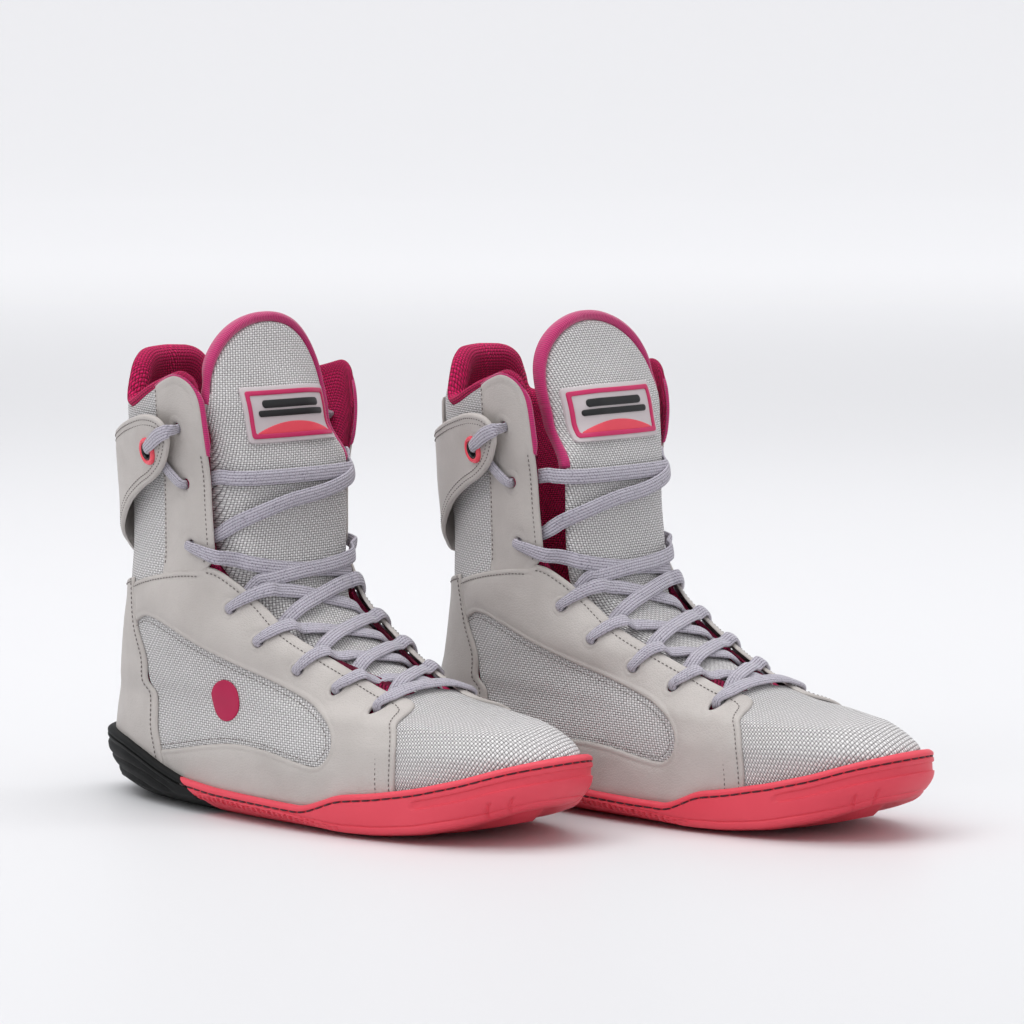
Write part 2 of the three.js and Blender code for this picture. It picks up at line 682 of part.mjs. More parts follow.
function laceParts(add, highSide) {
  const route = laceRoute(highSide);
  add('lace', laceTube(route), materials.lace);
  add('aglet_medial', aglet(route), materials.stiffener);
  add('aglet_lateral', aglet(reversed(route)), materials.stiffener);
}

function sideMark(add) {
  const { centre, radius, thickness, lift } = sideMarkPlace;
  const disc = new THREE.CylinderGeometry(radius, radius, thickness, 20);
  add('side_mark', alongNormal(disc, centre, 1, mesh[0] + lift), materials.motif);
}

function buildBoot(boot, highSide) {
  const parts = new THREE.Group();
  const mirror = boot === 'right' ? -1 : 1;
  const add = (name, solid, material) => {
    const clean = solid.simplify(smallestEdge);
    const placed = mirror < 0 ? clean.mirror([0, 1, 0]) : clean;
    const node = new THREE.Mesh(toGeometry(placed), material);
    node.name = `${boot}_${name}`;
    parts.add(node);
  };
  soleParts(add);
  upperParts(add);
  strapParts(add);
  tongueParts(add);
  laceParts(add, highSide);
  sideMark(add);
  return parts;
}

// ---------------------------------------------------------------- the pair

const rightBoot = buildBoot('right', 1);
rightBoot.position.set(0, -bootSpacing / 2, 0);

const leftBoot = buildBoot('left', -1);
leftBoot.position.set(leftBootForward, bootSpacing / 2, 0);
leftBoot.rotation.z = THREE.MathUtils.degToRad(leftBootTurn);

const group = new THREE.Group();
group.add(rightBoot, leftBoot);

const box = new THREE.Box3().setFromObject(group, true);
const middle = box.getCenter(new THREE.Vector3());
group.position.set(-middle.x, -middle.y, -box.min.z);

export default group;
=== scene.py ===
"""Looks of a pair of laced boxing boots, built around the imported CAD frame.

Each boot is worked out in its own frame in millimetres: x runs forward from the back of the heel, z up from
the floor, and y is positive on the lateral (outer) side. Boot.world() carries points to the row frame.
"""

import json
import math

import bpy
import bmesh
import numpy as np
from mathutils import Matrix, Vector
from mathutils.geometry import delaunay_2d_cdt


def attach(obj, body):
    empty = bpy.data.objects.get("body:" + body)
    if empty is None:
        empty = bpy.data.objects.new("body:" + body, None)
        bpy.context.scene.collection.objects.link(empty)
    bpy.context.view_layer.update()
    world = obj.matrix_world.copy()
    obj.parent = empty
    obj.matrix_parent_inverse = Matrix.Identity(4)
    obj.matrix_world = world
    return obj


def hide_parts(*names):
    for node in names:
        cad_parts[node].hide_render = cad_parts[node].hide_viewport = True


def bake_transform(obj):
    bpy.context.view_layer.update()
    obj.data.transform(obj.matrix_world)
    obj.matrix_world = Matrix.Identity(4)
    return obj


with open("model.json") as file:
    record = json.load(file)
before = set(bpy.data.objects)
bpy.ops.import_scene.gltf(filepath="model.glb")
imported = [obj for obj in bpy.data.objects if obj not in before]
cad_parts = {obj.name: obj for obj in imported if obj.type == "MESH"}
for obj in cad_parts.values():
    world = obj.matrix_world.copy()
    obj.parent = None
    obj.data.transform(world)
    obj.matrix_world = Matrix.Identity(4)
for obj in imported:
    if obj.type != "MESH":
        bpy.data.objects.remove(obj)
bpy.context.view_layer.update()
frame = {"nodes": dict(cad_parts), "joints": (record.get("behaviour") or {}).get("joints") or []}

# ---------------------------------------------------------------- the skin all shells of the upper follow

# z, back, front, then the fullness from heel to front on the lateral and on the medial side.
STATIONS = np.array([
    [12, 3, 264, 46, 36, 56, 52, 34, 24, 54, 50],
    [24, 0, 266, 46, 36, 56, 52, 34, 27, 52, 50],
    [36, 1, 266, 45, 38, 52, 50, 31, 32, 50, 50],
    [48, 4, 250, 44, 40, 46, 44, 28, 36, 46, 44],
    [54, 6, 208, 44.5, 41, 45, 42, 27, 36.5, 45, 42],
    [60, 8, 189, 45, 42, 44, 40, 26, 37, 44, 40],
    [78, 12, 146, 43, 42, 42, 60, 26, 35, 42, 60],
    [95, 15, 123, 41, 40, 42, 60, 27, 36, 42, 60],
    [115, 15, 115, 39, 30, 40, 74, 30, 28, 40, 76],
    [145, 13, 113, 38, 30, 38, 80, 32, 28, 38, 86],
    [175, 11, 108, 38, 28, 44, 94, 34, 26, 44, 100],
    [190, 16, 103.6, 38, 28, 46, 95, 34, 26, 46, 102],
    [205, 23, 99, 38, 28, 48, 96, 34, 26, 48, 104],
    [230, 28, 92, 38, 28, 48, 96, 34, 26, 48, 104],
], float)
ROUNDNESS = 0.8
HEIGHTS = STATIONS[:, 0]
SECANTS = np.diff(STATIONS[:, 1:], axis=0) / np.diff(HEIGHTS)[:, None]
_product = SECANTS[1:] * SECANTS[:-1]
_total = SECANTS[1:] + SECANTS[:-1]
_mean = np.where(_product > 0, 2 * _product / np.where(_total == 0, 1, _total), 0)
SLOPES = np.vstack([SECANTS[:1], _mean, SECANTS[-1:]])


def at_height(z):
    """Back, front and fullness at each height, without overshoot between stations."""
    z = np.clip(np.asarray(z, float), HEIGHTS[0], HEIGHTS[-1])
    i = np.clip(np.searchsorted(HEIGHTS, z, side="left") - 1, 0, len(HEIGHTS) - 2)
    width = HEIGHTS[i + 1] - HEIGHTS[i]
    s = ((z - HEIGHTS[i]) / width)[..., None]
    width = width[..., None]
    start, end = STATIONS[i, 1:], STATIONS[i + 1, 1:]
    return (start * (1 + 2 * s) * (1 - s) ** 2 + end * s * s * (3 - 2 * s)
            + width * (SLOPES[i] * s * (1 - s) ** 2 - SLOPES[i + 1] * s * s * (1 - s)))


def skin_base(turn, z):
    turn, z = np.broadcast_arrays(np.asarray(turn, float), np.asarray(z, float))
    wrapped = np.where(turn > 1, turn - 2, np.where(turn < -1, turn + 2, turn))
    share = np.abs(wrapped)[..., None]
    values = at_height(z)
    back, front = values[..., 0], values[..., 1]
    full = np.where(wrapped[..., None] < 0, values[..., 6:10], values[..., 2:6])
    powers = np.concatenate([(1 - share) ** 3, 3 * (1 - share) ** 2 * share,
                             3 * (1 - share) * share ** 2, share ** 3], axis=-1)
    width = (full * powers).sum(-1)
    share = share[..., 0]
    x = (back + front) / 2 - (front - back) / 2 * np.cos(np.pi * share)
    y = np.sign(wrapped) * width * np.maximum(np.sin(np.pi * share), 0) ** ROUNDNESS
    return np.stack([x, y, z], -1)


def skin_normal(turn, z):
    z = np.asarray(z, float)
    along = skin_base(turn + 0.02, z) - skin_base(turn - 0.02, z)
    up = skin_base(turn, z + 1) - skin_base(turn, z - 1)
    normal = np.cross(up, along)
    return normal / np.linalg.norm(normal, axis=-1, keepdims=True)


def skin(turn, z, offset=0.0):
    return skin_base(turn, z) + skin_normal(turn, z) * np.asarray(offset, float)[..., None]


def turn_at(x, z, side):
    values = at_height(z)
    back, front = values[..., 0], values[..., 1]
    cosine = ((back + front) / 2 - x) / ((front - back) / 2)
    return side * np.arccos(np.clip(cosine, -1, 1)) / np.pi


def on_skin(x, z, side, offset=0.0):
    return skin(turn_at(np.asarray(x, float), np.asarray(z, float), side), z, offset)


def smoothstep(value, low, high):
    t = np.clip((np.asarray(value, float) - low) / (high - low), 0, 1)
    return t * t * (3 - 2 * t)


# Length along the front ridge of the skin, measured from the floor up.
_ridge_z = np.linspace(4, 232, 1141)
_ridge_x = at_height(_ridge_z)[:, 1]
_ridge_s = np.concatenate([[0], np.cumsum(np.hypot(np.diff(_ridge_z), np.diff(_ridge_x)))])


def ridge_length(z):
    return np.interp(z, _ridge_z, _ridge_s)


def ridge_height(length):
    return np.interp(length, _ridge_s, _ridge_z)


# ---------------------------------------------------------------- charts: flat maps of parts of the skin


class SideChart:
    """x and z seen from one side."""

    def __init__(self, side):
        self.side = side

    def flat(self, x, z, side=None):
        return np.stack([np.asarray(x, float), np.asarray(z, float)], -1)

    def lift(self, a, b):
        return turn_at(a, b, self.side), b


class HeelChart:
    """Around the back, lateral side positive."""

    scale = 155.0

    def flat(self, x, z, side):
        x, z = np.asarray(x, float), np.asarray(z, float)
        return np.stack([turn_at(x, z, side) * self.scale, z], -1)

    def lift(self, a, b):
        return a / self.scale, b


class ToeChart:
    """Around the toe, lateral side first, with heights as lengths along the ridge."""

    scale = 196.0

    def flat(self, x, z, side):
        x, z = np.asarray(x, float), np.asarray(z, float)
        turn = turn_at(x, z, side)
        return np.stack([np.where(turn < 0, 2 + turn, turn) * self.scale, ridge_length(z)], -1)

    def lift(self, a, b):
        return a / self.scale, ridge_height(b)


class TongueChart:
    """Distance from the middle of the front, and length along the ridge."""

    shares = np.linspace(0.5, 1, 260)

    def lift(self, a, b):
        z = ridge_height(b)
        turns = np.empty(len(z))
        rows = np.round(z * 2).astype(int)
        for row in np.unique(rows):
            pick = rows == row
            for side in (1, -1):
                half = np.abs(skin_base(side * self.shares, np.full(len(self.shares), row / 2))[:, 1])
                widest = half.argmax()
                mine = pick & ((a >= 0) if side > 0 else (a < 0))
                share = np.interp(-np.abs(a[mine]), -half[widest:], self.shares[widest:])
                turns[mine] = share if side > 0 else 2 - share
        return turns, z


# ---------------------------------------------------------------- outlines


def curve(points, step=1.6):
    """A smooth open line through the points, with even steps."""
    p = np.asarray(points, float)
    if len(p) < 3:
        fine = p
    else:
        ends = np.vstack([2 * p[0] - p[1], p, 2 * p[-1] - p[-2]])
        t = np.linspace(0, 1, 12, endpoint=False)[:, None]
        parts = []
        for i in range(len(p) - 1):
            a, b, c, d = ends[i:i + 4]
            parts.append(0.5 * (2 * b + (c - a) * t + (2 * a - 5 * b + 4 * c - d) * t ** 2
                                + (3 * b - a - 3 * c + d) * t ** 3))
        fine = np.vstack(parts + [p[-1:]])
    length = np.concatenate([[0], np.cumsum(np.linalg.norm(np.diff(fine, axis=0), axis=1))])
    count = max(2, int(round(length[-1] / step)) + 1)
    at = np.linspace(0, length[-1], count)
    return np.stack([np.interp(at, length, fine[:, k]) for k in range(p.shape[1])], -1)


def ring(*lines):
    """A closed outline from lines that follow each other."""
    points = np.vstack(lines)
    keep = np.linalg.norm(points - np.roll(points, 1, axis=0), axis=1) > 0.25
    return points[keep]


def circle(centre, radius, count=18):
    angle = np.linspace(0, 2 * np.pi, count, endpoint=False)
    return np.stack([centre[0] + radius * np.cos(angle), centre[1] + radius * np.sin(angle)], -1)


def inside(points, outline):
    x, y = points[:, 0][:, None], points[:, 1][:, None]
    x0, y0 = outline[:, 0], outline[:, 1]
    x1, y1 = np.roll(x0, -1), np.roll(y0, -1)
    crosses = (y0 > y) != (y1 > y)
    slope = np.where(y1 == y0, 1, y1 - y0)
    return (crosses & (x < (x1 - x0) * (y - y0) / slope + x0)).sum(1) % 2 == 1


def distance_to(points, lines):
    best = np.full(len(points), 1e9)
    for line in lines:
        a = line
        d = np.roll(line, -1, axis=0) - a
        length = np.maximum((d ** 2).sum(1), 1e-9)
        for start in range(0, len(points), 4000):
            p = points[start:start + 4000]
            t = np.clip(((p[:, None] - a) * d).sum(2) / length, 0, 1)
            gap = np.linalg.norm(p[:, None] - a - t[..., None] * d, axis=2).min(1)
            best[start:start + 4000] = np.minimum(best[start:start + 4000], gap)
    return best


def side_of(outline):
    """1 where the outline runs anticlockwise, and -1 where it runs clockwise."""
    x, y = outline[:, 0], outline[:, 1]
    return 1.0 if (x * np.roll(y, -1) - np.roll(x, -1) * y).sum() > 0 else -1.0


def inset(outline, distance):
    """The outline moved to its own left, which is inwards where it runs anticlockwise."""
    along = np.roll(outline, -1, axis=0) - np.roll(outline, 1, axis=0)
    along /= np.maximum(np.linalg.norm(along, axis=1, keepdims=True), 1e-9)
    return outline + distance * side_of(outline) * np.stack([-along[:, 1], along[:, 0]], -1)


def beside(line, distance):
    """An open line moved to its own left."""
    along = np.gradient(line, axis=0)
    along /= np.maximum(np.linalg.norm(along, axis=1, keepdims=True), 1e-9)
    return line + distance * np.stack([-along[:, 1], along[:, 0]], -1)


def triangulate(rings, spacing, insets):
    """Points, triangles and distance from the edge of a flat panel with holes."""
    rings = [np.asarray(r, float) for r in rings]
    points, edges = [], []
    for r in rings:
        base = len(points)
        points.extend(r.tolist())
        edges.extend((base + i, base + (i + 1) % len(r)) for i in range(len(r)))
    extra = []
    for k, r in enumerate(rings):
        for d in insets:
            moved = inset(r, d if k == 0 else -d)
            extra.append(moved[distance_to(moved, rings) > 0.9 * d])
    low, high = rings[0].min(0), rings[0].max(0)
    rows = np.arange(low[1], high[1], spacing * 0.866)
    for i, y in enumerate(rows):
        x = np.arange(low[0] + (i % 2) * spacing / 2, high[0], spacing)
        extra.append(np.stack([x, np.full(len(x), y)], -1))
    grid_from = sum(len(e) for e in extra[:-len(rows)])
    extra = np.vstack(extra)
    room = np.full(len(extra), 0.0)
    room[grid_from:] = spacing * 0.5 + max(insets, default=0)
    good = inside(extra, rings[0]) & (distance_to(extra, rings) > room)
    for r in rings[1:]:
        good &= ~inside(extra, r)
    points.extend(extra[good].tolist())
    made = delaunay_2d_cdt([Vector(p) for p in points], edges, [], 0, 1e-4)
    flat = np.array([tuple(v) for v in made[0]])
    triangles = np.array([f for f in made[2] if len(f) == 3])
    middle = flat[triangles].mean(1)
    keep = inside(middle, rings[0])
    for r in rings[1:]:
        keep &= ~inside(middle, r)
    triangles = triangles[keep]
    used = np.unique(triangles)
    renumber = np.full(len(flat), -1)
    renumber[used] = np.arange(len(used))
    return flat[used], renumber[triangles], distance_to(flat[used], rings)


# ---------------------------------------------------------------- boots and meshes

HINGE = np.array([105.8, 0.0, 160.0])


class Boot:
    def __init__(self, name, mirror, high_side):
        self.name = name
        self.mirror = mirror
        self.high_side = high_side
        joint = next(j for j in frame["joints"] if j["name"] == f"{name}_tongue_fold")
        axis = joint["axis"]
        self.yaw = math.atan2(-axis[0], axis[1])
        cos, sin = math.cos(self.yaw), math.sin(self.yaw)
        self.rotation = np.array([[cos, -sin, 0], [sin, cos, 0], [0, 0, 1]])
        self.origin = np.array(joint["pos_m"]) * 1000 - self.rotation @ HINGE

    def world(self, points):
        points = np.asarray(points, float) * [1, self.mirror, 1]
        return (points @ self.rotation.T + self.origin) / 1000


def make_object(name, points, faces, material, uv=None, sharp=48, closed=True):
    mesh = bpy.data.meshes.new(name)
    mesh.from_pydata(np.asarray(points).tolist(), [], [list(map(int, f)) for f in faces])
    if uv is not None:
        layer = mesh.uv_layers.new(name="UVMap")
        index = np.empty(len(mesh.loops), int)
        mesh.loops.foreach_get("vertex_index", index)
        layer.data.foreach_set("uv", np.asarray(uv, np.float32)[index].ravel())
    if closed:
        bm = bmesh.new()
        bm.from_mesh(mesh)
        bmesh.ops.recalc_face_normals(bm, faces=bm.faces)
        bm.to_mesh(mesh)
        bm.free()
    mesh.polygons.foreach_set("use_smooth", [True] * len(mesh.polygons))
    mesh.set_sharp_from_angle(angle=math.radians(sharp))
    mesh.materials.append(material)
    obj = bpy.data.objects.new(name, mesh)
    bpy.context.scene.collection.objects.link(obj)
    return obj


def add_piece(boot, name, points, faces, material, replaces=(), uv=None, body="boot", sharp=48):
    obj = make_object(f"{boot.name}_{name}_look", boot.world(points), faces, material, uv, sharp)
    if body == "blend":
        bend(obj, boot)
    else:
        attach(obj, f"{boot.name}_{body}")
    if replaces:
        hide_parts(*[f"{boot.name}_{node}" for node in replaces])
    return obj


def bend(obj, boot):
    start, end = boot.world([[104, 0, 147], [104, 0, 162.5]])
    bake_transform(obj)


def waviness(points, size=1.0):
    """A slow unevenness, in millimetres."""
    x, y, z = points[:, 0], points[:, 1], points[:, 2]
    return size * (0.16 * np.sin(x / 9.1 + z / 13.7 + 1.3) + 0.12 * np.sin(z / 7.3 - y / 11.9 + 0.4)
                   + 0.09 * np.sin(x / 4.9 - z / 5.7 + y / 6.1))


def panel(chart, rings, base, thickness, spacing=2.6, edge=1.3, insets=(), wave=1.0, shape=None, offset=None):
    """A solid sheet of even thickness with rolled edges, its inner face at base from the skin."""
    lines = [edge * 0.12, edge * 0.42, edge] + list(insets)
    flat, triangles, depth = triangulate(rings, spacing, lines)
    turn, z = chart.lift(flat[:, 0], flat[:, 1])
    level = base if offset is None else base + offset(turn, z)
    roll = 0.3 + 0.7 * np.sqrt(np.maximum(1 - (1 - np.clip(depth / edge, 0, 1)) ** 2, 0))
    rough = waviness(skin_base(turn, z), wave) * smoothstep(depth, 0, 8)
    if shape is not None:
        rough = rough + shape(flat, depth)
    outer = skin(turn, z, level + thickness * roll + rough)
    inner = skin(turn, z, level + rough * 0.6)
    count = len(flat)
    faces = [tuple(t) for t in triangles] + [tuple(t[::-1] + count) for t in triangles]
    pairs = np.vstack([triangles[:, [0, 1]], triangles[:, [1, 2]], triangles[:, [2, 0]]])
    keys = {(a, b) for a, b in pairs.tolist()}
    for a, b in keys:
        if (b, a) not in keys:
            faces.append((b, a, a + count, b + count))
    return np.vstack([outer, inner]), faces, np.vstack([flat, flat])


def groove(at, width=0.55, depth=0.28):
    """A stitched seam pulls the sheet in along a line at some depth from its edge."""
    places = np.atleast_1d(at)
    return lambda flat, d: -depth * sum(np.exp(-((d - p) / width) ** 2) for p in places)


def sweep_beads(starts, ends, normals, radius, sunk=0.0):
    """Short thread stitches: a tapered bead between each start and end."""
    stations = np.array([0.0, 0.18, 0.5, 0.82, 1.0])
    sizes = np.array([0.35, 0.9, 1.0, 0.9, 0.35])
    lifts = np.array([-0.75, 0.1, 0.35, 0.1, -0.75])
    sides = 6
    along = ends - starts
    unit = along / np.linalg.norm(along, axis=1, keepdims=True)
    across = np.cross(unit, normals)
    across /= np.linalg.norm(across, axis=1, keepdims=True)
    angle = np.linspace(0, 2 * np.pi, sides, endpoint=False)
    rings = []
    for s, size, lift in zip(stations, sizes, lifts):
        centre = starts + along * s + normals * (radius * lift - sunk)
        for a in angle:
            rings.append(centre + radius * size * (np.cos(a) * across + np.sin(a) * normals))
    points = np.stack(rings, 1)
    faces = []
    per = len(stations) * sides
    for i in range(len(starts)):
        base = i * per
        for s in range(len(stations) - 1):
            for k in range(sides):
                a, b = base + s * sides + k, base + s * sides + (k + 1) % sides
                faces.append((a, b, b + sides, a + sides))
        faces.append(tuple(base + k for k in range(sides))[::-1])
        faces.append(tuple(base + per - sides + k for k in range(sides)))
    return points.reshape(-1, 3), faces


def stitch_row(chart, line, offset, pitch=2.1, length=1.3, radius=0.24):
    """Starts, ends and normals of a row of stitches along an open line of a chart."""
    fine = curve(line, 0.5)
    turn, z = chart.lift(fine[:, 0], fine[:, 1])
    level = offset(turn, z) if callable(offset) else offset
    points, normals = skin(turn, z, level), skin_normal(turn, z)
    reach = np.concatenate([[0], np.cumsum(np.linalg.norm(np.diff(points, axis=0), axis=1))])
    at = np.arange(0.4, reach[-1] - length, pitch)
    pick = lambda values, where: np.stack([np.interp(where, reach, values[:, k]) for k in range(3)], -1)
    return pick(points, at), pick(points, at + length), pick(normals, at + length / 2), radius


def add_stitches(boot, name, rows, material, body="boot"):
    points, faces = [], []
    for starts, ends, normals, radius in rows:
        if not len(starts):
            continue
        p, f = sweep_beads(starts, ends, normals, radius)
        base = sum(len(q) for q in points)
        points.append(p)
        faces.extend(tuple(base + i for i in face) for face in f)
    return add_piece(boot, name, np.vstack(points), faces, material, body=body, sharp=80)

# ---------------------------------------------------------------- materials


def linear(code):
    values = [int(code[i:i + 2], 16) / 255 for i in (1, 3, 5)]
    return tuple(v / 12.92 if v <= 0.04045 else ((v + 0.055) / 1.055) ** 2.4 for v in values) + (1.0,)


class Shader:
    """A Principled material and short names for the nodes that feed it."""

    def __init__(self, name, color, roughness, **sockets):
        self.material = bpy.data.materials.new(name)
        self.material.use_nodes = True
        self.tree = self.material.node_tree
        self.main = self.tree.nodes["Principled BSDF"]
        self.material.diffuse_color = linear(color)
        self.main.inputs["Base Color"].default_value = linear(color)
        self.main.inputs["Roughness"].default_value = roughness
        for key, value in sockets.items():
            self.main.inputs[key.replace("_", " ")].default_value = value

    def put(self, socket, value):
        if isinstance(value, bpy.types.NodeSocket):
            self.tree.links.new(value, socket)
        else:
            socket.default_value = value

    def add(self, kind, inputs, **settings):
        node = self.tree.nodes.new(kind)
        for key, value in settings.items():
            setattr(node, key, value)
        for key, value in inputs.items():
            self.put(node.inputs[key], value)
        return node

    def math(self, operation, a, b=0.0, c=0.0):
        node = self.add("ShaderNodeMath", {0: a, 1: b, 2: c}, operation=operation)
        return node.outputs[0]

    def mix(self, factor, a, b):
        node = self.add("ShaderNodeMix", {}, data_type="RGBA")
        self.put(node.inputs[0], factor)
        self.put(node.inputs[6], a)
        self.put(node.inputs[7], b)
        return node.outputs[2]

    def blend(self, factor, a, b):
        node = self.add("ShaderNodeMix", {0: factor, 2: a, 3: b}, data_type="FLOAT")
        return node.outputs[0]

    def place(self):
        return self.add("ShaderNodeTexCoord", {}).outputs["Object"]

    def noise(self, scale, detail=3.0, roughness=0.55):
        return self.add("ShaderNodeTexNoise", {"Vector": self.place(), "Scale": scale, "Detail": detail,
                                               "Roughness": roughness}).outputs[0]

    def uv(self):
        coordinates = self.add("ShaderNodeTexCoord", {}).outputs["UV"]
        split = self.add("ShaderNodeSeparateXYZ", {0: coordinates})
        return split.outputs[0], split.outputs[1]

    def bump(self, height, distance, strength=1.0, normal=None):
        inputs = {"Height": height, "Distance": distance, "Strength": strength}
        if normal is not None:
            inputs["Normal"] = normal
        return self.add("ShaderNodeBump", inputs).outputs[0]

    def color(self, socket):
        self.tree.links.new(socket, self.main.inputs["Base Color"])

    def normal(self, socket):
        self.tree.links.new(socket, self.main.inputs["Normal"])


def leather_material(name, color, dark):
    s = Shader(name, color, 0.5, Specular_IOR_Level=0.42)
    grain = s.add("ShaderNodeTexVoronoi", {"Vector": s.place(), "Scale": 780.0, "Randomness": 1.0},
                  feature="DISTANCE_TO_EDGE").outputs[0]
    pores = s.math("MINIMUM", s.math("MULTIPLY", grain, 6.0), 1.0)
    folds = s.noise(260.0, 5.0, 0.6)
    height = s.math("ADD", s.math("MULTIPLY", pores, 0.45), s.math("MULTIPLY", folds, 1.3))
    s.normal(s.bump(height, 0.00028, 0.55))
    patch = s.math("MULTIPLY", s.math("SUBTRACT", s.noise(34.0, 4.0, 0.6), 0.36), 1.9)
    tone = s.mix(patch, linear(dark), linear(color))
    s.color(s.mix(s.math("MULTIPLY", s.math("SUBTRACT", 1.0, pores), 0.22), tone, linear(dark)))
    rough = s.math("ADD", 0.42, s.math("MULTIPLY", s.noise(120.0), 0.22))
    s.tree.links.new(rough, s.main.inputs["Roughness"])
    return s.material


def weave_height(s, pitch_u, pitch_v, skew=0.0):
    """Over and under cells of a plain weave, from uv in millimetres: height, and which thread is on top."""
    u, v = s.uv()
    u = s.math("ADD", u, s.math("MULTIPLY", v, skew))
    su = s.math("SINE", s.math("MULTIPLY", u, math.pi / pitch_u))
    sv = s.math("SINE", s.math("MULTIPLY", v, math.pi / pitch_v))
    au, av = s.math("ABSOLUTE", su), s.math("ABSOLUTE", sv)
    over = s.math("GREATER_THAN", s.math("MULTIPLY", su, sv), 0.0)
    warp = s.math("MULTIPLY", s.math("POWER", au, 0.95), s.math("POWER", av, 0.3))
    weft = s.math("MULTIPLY", s.math("POWER", au, 0.3), s.math("POWER", av, 0.95))
    return s.blend(over, warp, weft), over


def mesh_material(name, thread, shade, gap, pitch_u, pitch_v, skew, depth, roughness=0.75, sheen=0.25):
    s = Shader(name, thread, roughness, Sheen_Weight=sheen, Sheen_Roughness=0.45)
    height, over = weave_height(s, pitch_u, pitch_v, skew)
    uneven = s.math("ADD", height, s.math("MULTIPLY", s.math("SUBTRACT", s.noise(900.0, 2.0), 0.5), 0.3))
    s.normal(s.bump(uneven, depth, 0.9))
    top = s.mix(s.math("MULTIPLY", over, 0.75), linear(thread), linear(shade))
    # Low places between the threads take the dark gap colour: painted shade in the gaps of the weave.
    lit = s.math("MINIMUM", s.math("MAXIMUM", s.math("MULTIPLY", s.math("SUBTRACT", uneven, 0.12), 2.1), 0.0), 1.0)
    cloth = s.mix(lit, linear(gap), top)
    soft = s.math("MULTIPLY", s.math("SUBTRACT", s.noise(42.0, 3.0), 0.42), 0.5)
    s.color(s.mix(s.math("MAXIMUM", soft, 0.0), cloth, linear(shade)))
    return s.material


def tape_material(name, color, dark):
    s = Shader(name, color, 0.7, Sheen_Weight=0.4)
    u, v = s.uv()
    ribs = s.math("ABSOLUTE", s.math("SINE", s.math("MULTIPLY", u, math.pi / 0.85)))
    cross = s.math("ABSOLUTE", s.math("SINE", s.math("MULTIPLY", v, math.pi / 1.1)))
    height = s.math("ADD", s.math("MULTIPLY", ribs, 0.7), s.math("MULTIPLY", cross, 0.35))
    s.normal(s.bump(height, 0.0002, 0.8))
    # The grooves between the ribs are painted in the dark colour: painted shade.
    s.color(s.mix(s.math("POWER", ribs, 0.6), linear(dark), linear(color)))
    return s.material


def lace_material(name, light, shade, fleck):
    s = Shader(name, light, 0.72, Sheen_Weight=0.3)
    u, v = s.uv()
    rib = 1.28
    across = s.math("DIVIDE", v, rib)
    ridge = s.math("POWER", s.math("ABSOLUTE", s.math("SINE", s.math("MULTIPLY", across, math.pi))), 0.55)
    parity = s.math("MULTIPLY", s.math("MODULO", s.math("ADD", s.math("FLOOR", across), 40.0), 2.0), 0.5)
    along = s.math("ADD", s.math("DIVIDE", u, 1.45), parity)
    slope = s.math("MULTIPLY", s.math("FRACT", across), 0.55)
    braid = s.math("POWER", s.math("ABSOLUTE", s.math("SINE", s.math(
        "MULTIPLY", s.math("ADD", along, slope), math.pi))), 0.6)
    height = s.math("MULTIPLY", ridge, s.math("ADD", 0.45, s.math("MULTIPLY", braid, 0.55)))
    s.normal(s.bump(height, 0.0004, 0.9))
    tone = s.mix(s.math("MINIMUM", s.math("MULTIPLY", height, 1.5), 1.0), linear(shade), linear(light))
    dots = s.math("LESS_THAN", s.noise(1150.0, 1.0, 0.5), 0.36)
    s.color(s.mix(s.math("MULTIPLY", dots, 0.5), tone, linear(fleck)))
    return s.material


def rubber_material(name, color, dark, roughness, specular=0.4):
    s = Shader(name, color, roughness, Specular_IOR_Level=specular)
    s.normal(s.bump(s.noise(1400.0, 3.0, 0.6), 0.00006, 0.5))
    cloud = s.math("MULTIPLY", s.math("SUBTRACT", s.noise(26.0, 3.0), 0.4), 1.4)
    s.color(s.mix(s.math("MINIMUM", s.math("MAXIMUM", cloud, 0.0), 1.0), linear(dark), linear(color)))
    rough = s.math("ADD", roughness - 0.08, s.math("MULTIPLY", s.noise(75.0, 4.0), 0.18))
    s.tree.links.new(rough, s.main.inputs["Roughness"])
    return s.material


def thread_material(name, color, light):
    s = Shader(name, color, 0.8, Sheen_Weight=0.2)
    twist = s.noise(3200.0, 1.0)
    s.normal(s.bump(twist, 0.00008, 0.6))
    s.color(s.mix(s.math("MULTIPLY", twist, 0.6), linear(color), linear(light)))
    return s.material


def gloss_material(name, color, dark, roughness, **sockets):
    s = Shader(name, color, roughness, **sockets)
    s.normal(s.bump(s.noise(500.0, 2.0), 0.00004, 0.4))
    s.color(s.mix(s.math("MULTIPLY", s.noise(180.0, 3.0), 0.5), linear(color), linear(dark)))
    return s.material


LEATHER = leather_material("grey leather", "#c6c0bc", "#b4aeaa")
LEATHER_EDGE = leather_material("leather strip", "#c2bcb8", "#aaa39f")
MESH = mesh_material("grey woven mesh", "#efeded", "#cbc8c9", "#6a6465", 1.45, 1.05, 0.3, 0.0006)
LINING = mesh_material("magenta lining", "#e20f66", "#b80b52", "#520524", 1.3, 1.1, 0.5, 0.0006, 0.9, 0.0)
BINDING = tape_material("magenta tape", "#c40c6a", "#6c073a")
LACE = lace_material("grey braid", "#b9b4c0", "#5f5a68", "#4a4553")
CORAL = rubber_material("coral rubber", "#e84f60", "#dc4354", 0.5)
BLACK = rubber_material("black rubber", "#0b0c0d", "#070808", 0.6, 0.2)
THREAD = thread_material("dark thread", "#615b58", "#8b8582")
SOLE_THREAD = thread_material("sole thread", "#3a1c22", "#5d2f37")
PATCH_BASE = rubber_material("patch base", "#d3cccd", "#bfb5b8", 0.4)
PATCH_FRAME = rubber_material("patch frame", "#d6306c", "#bb2259", 0.38)
PATCH_DARK = rubber_material("patch bars", "#1c1d1f", "#101113", 0.42)
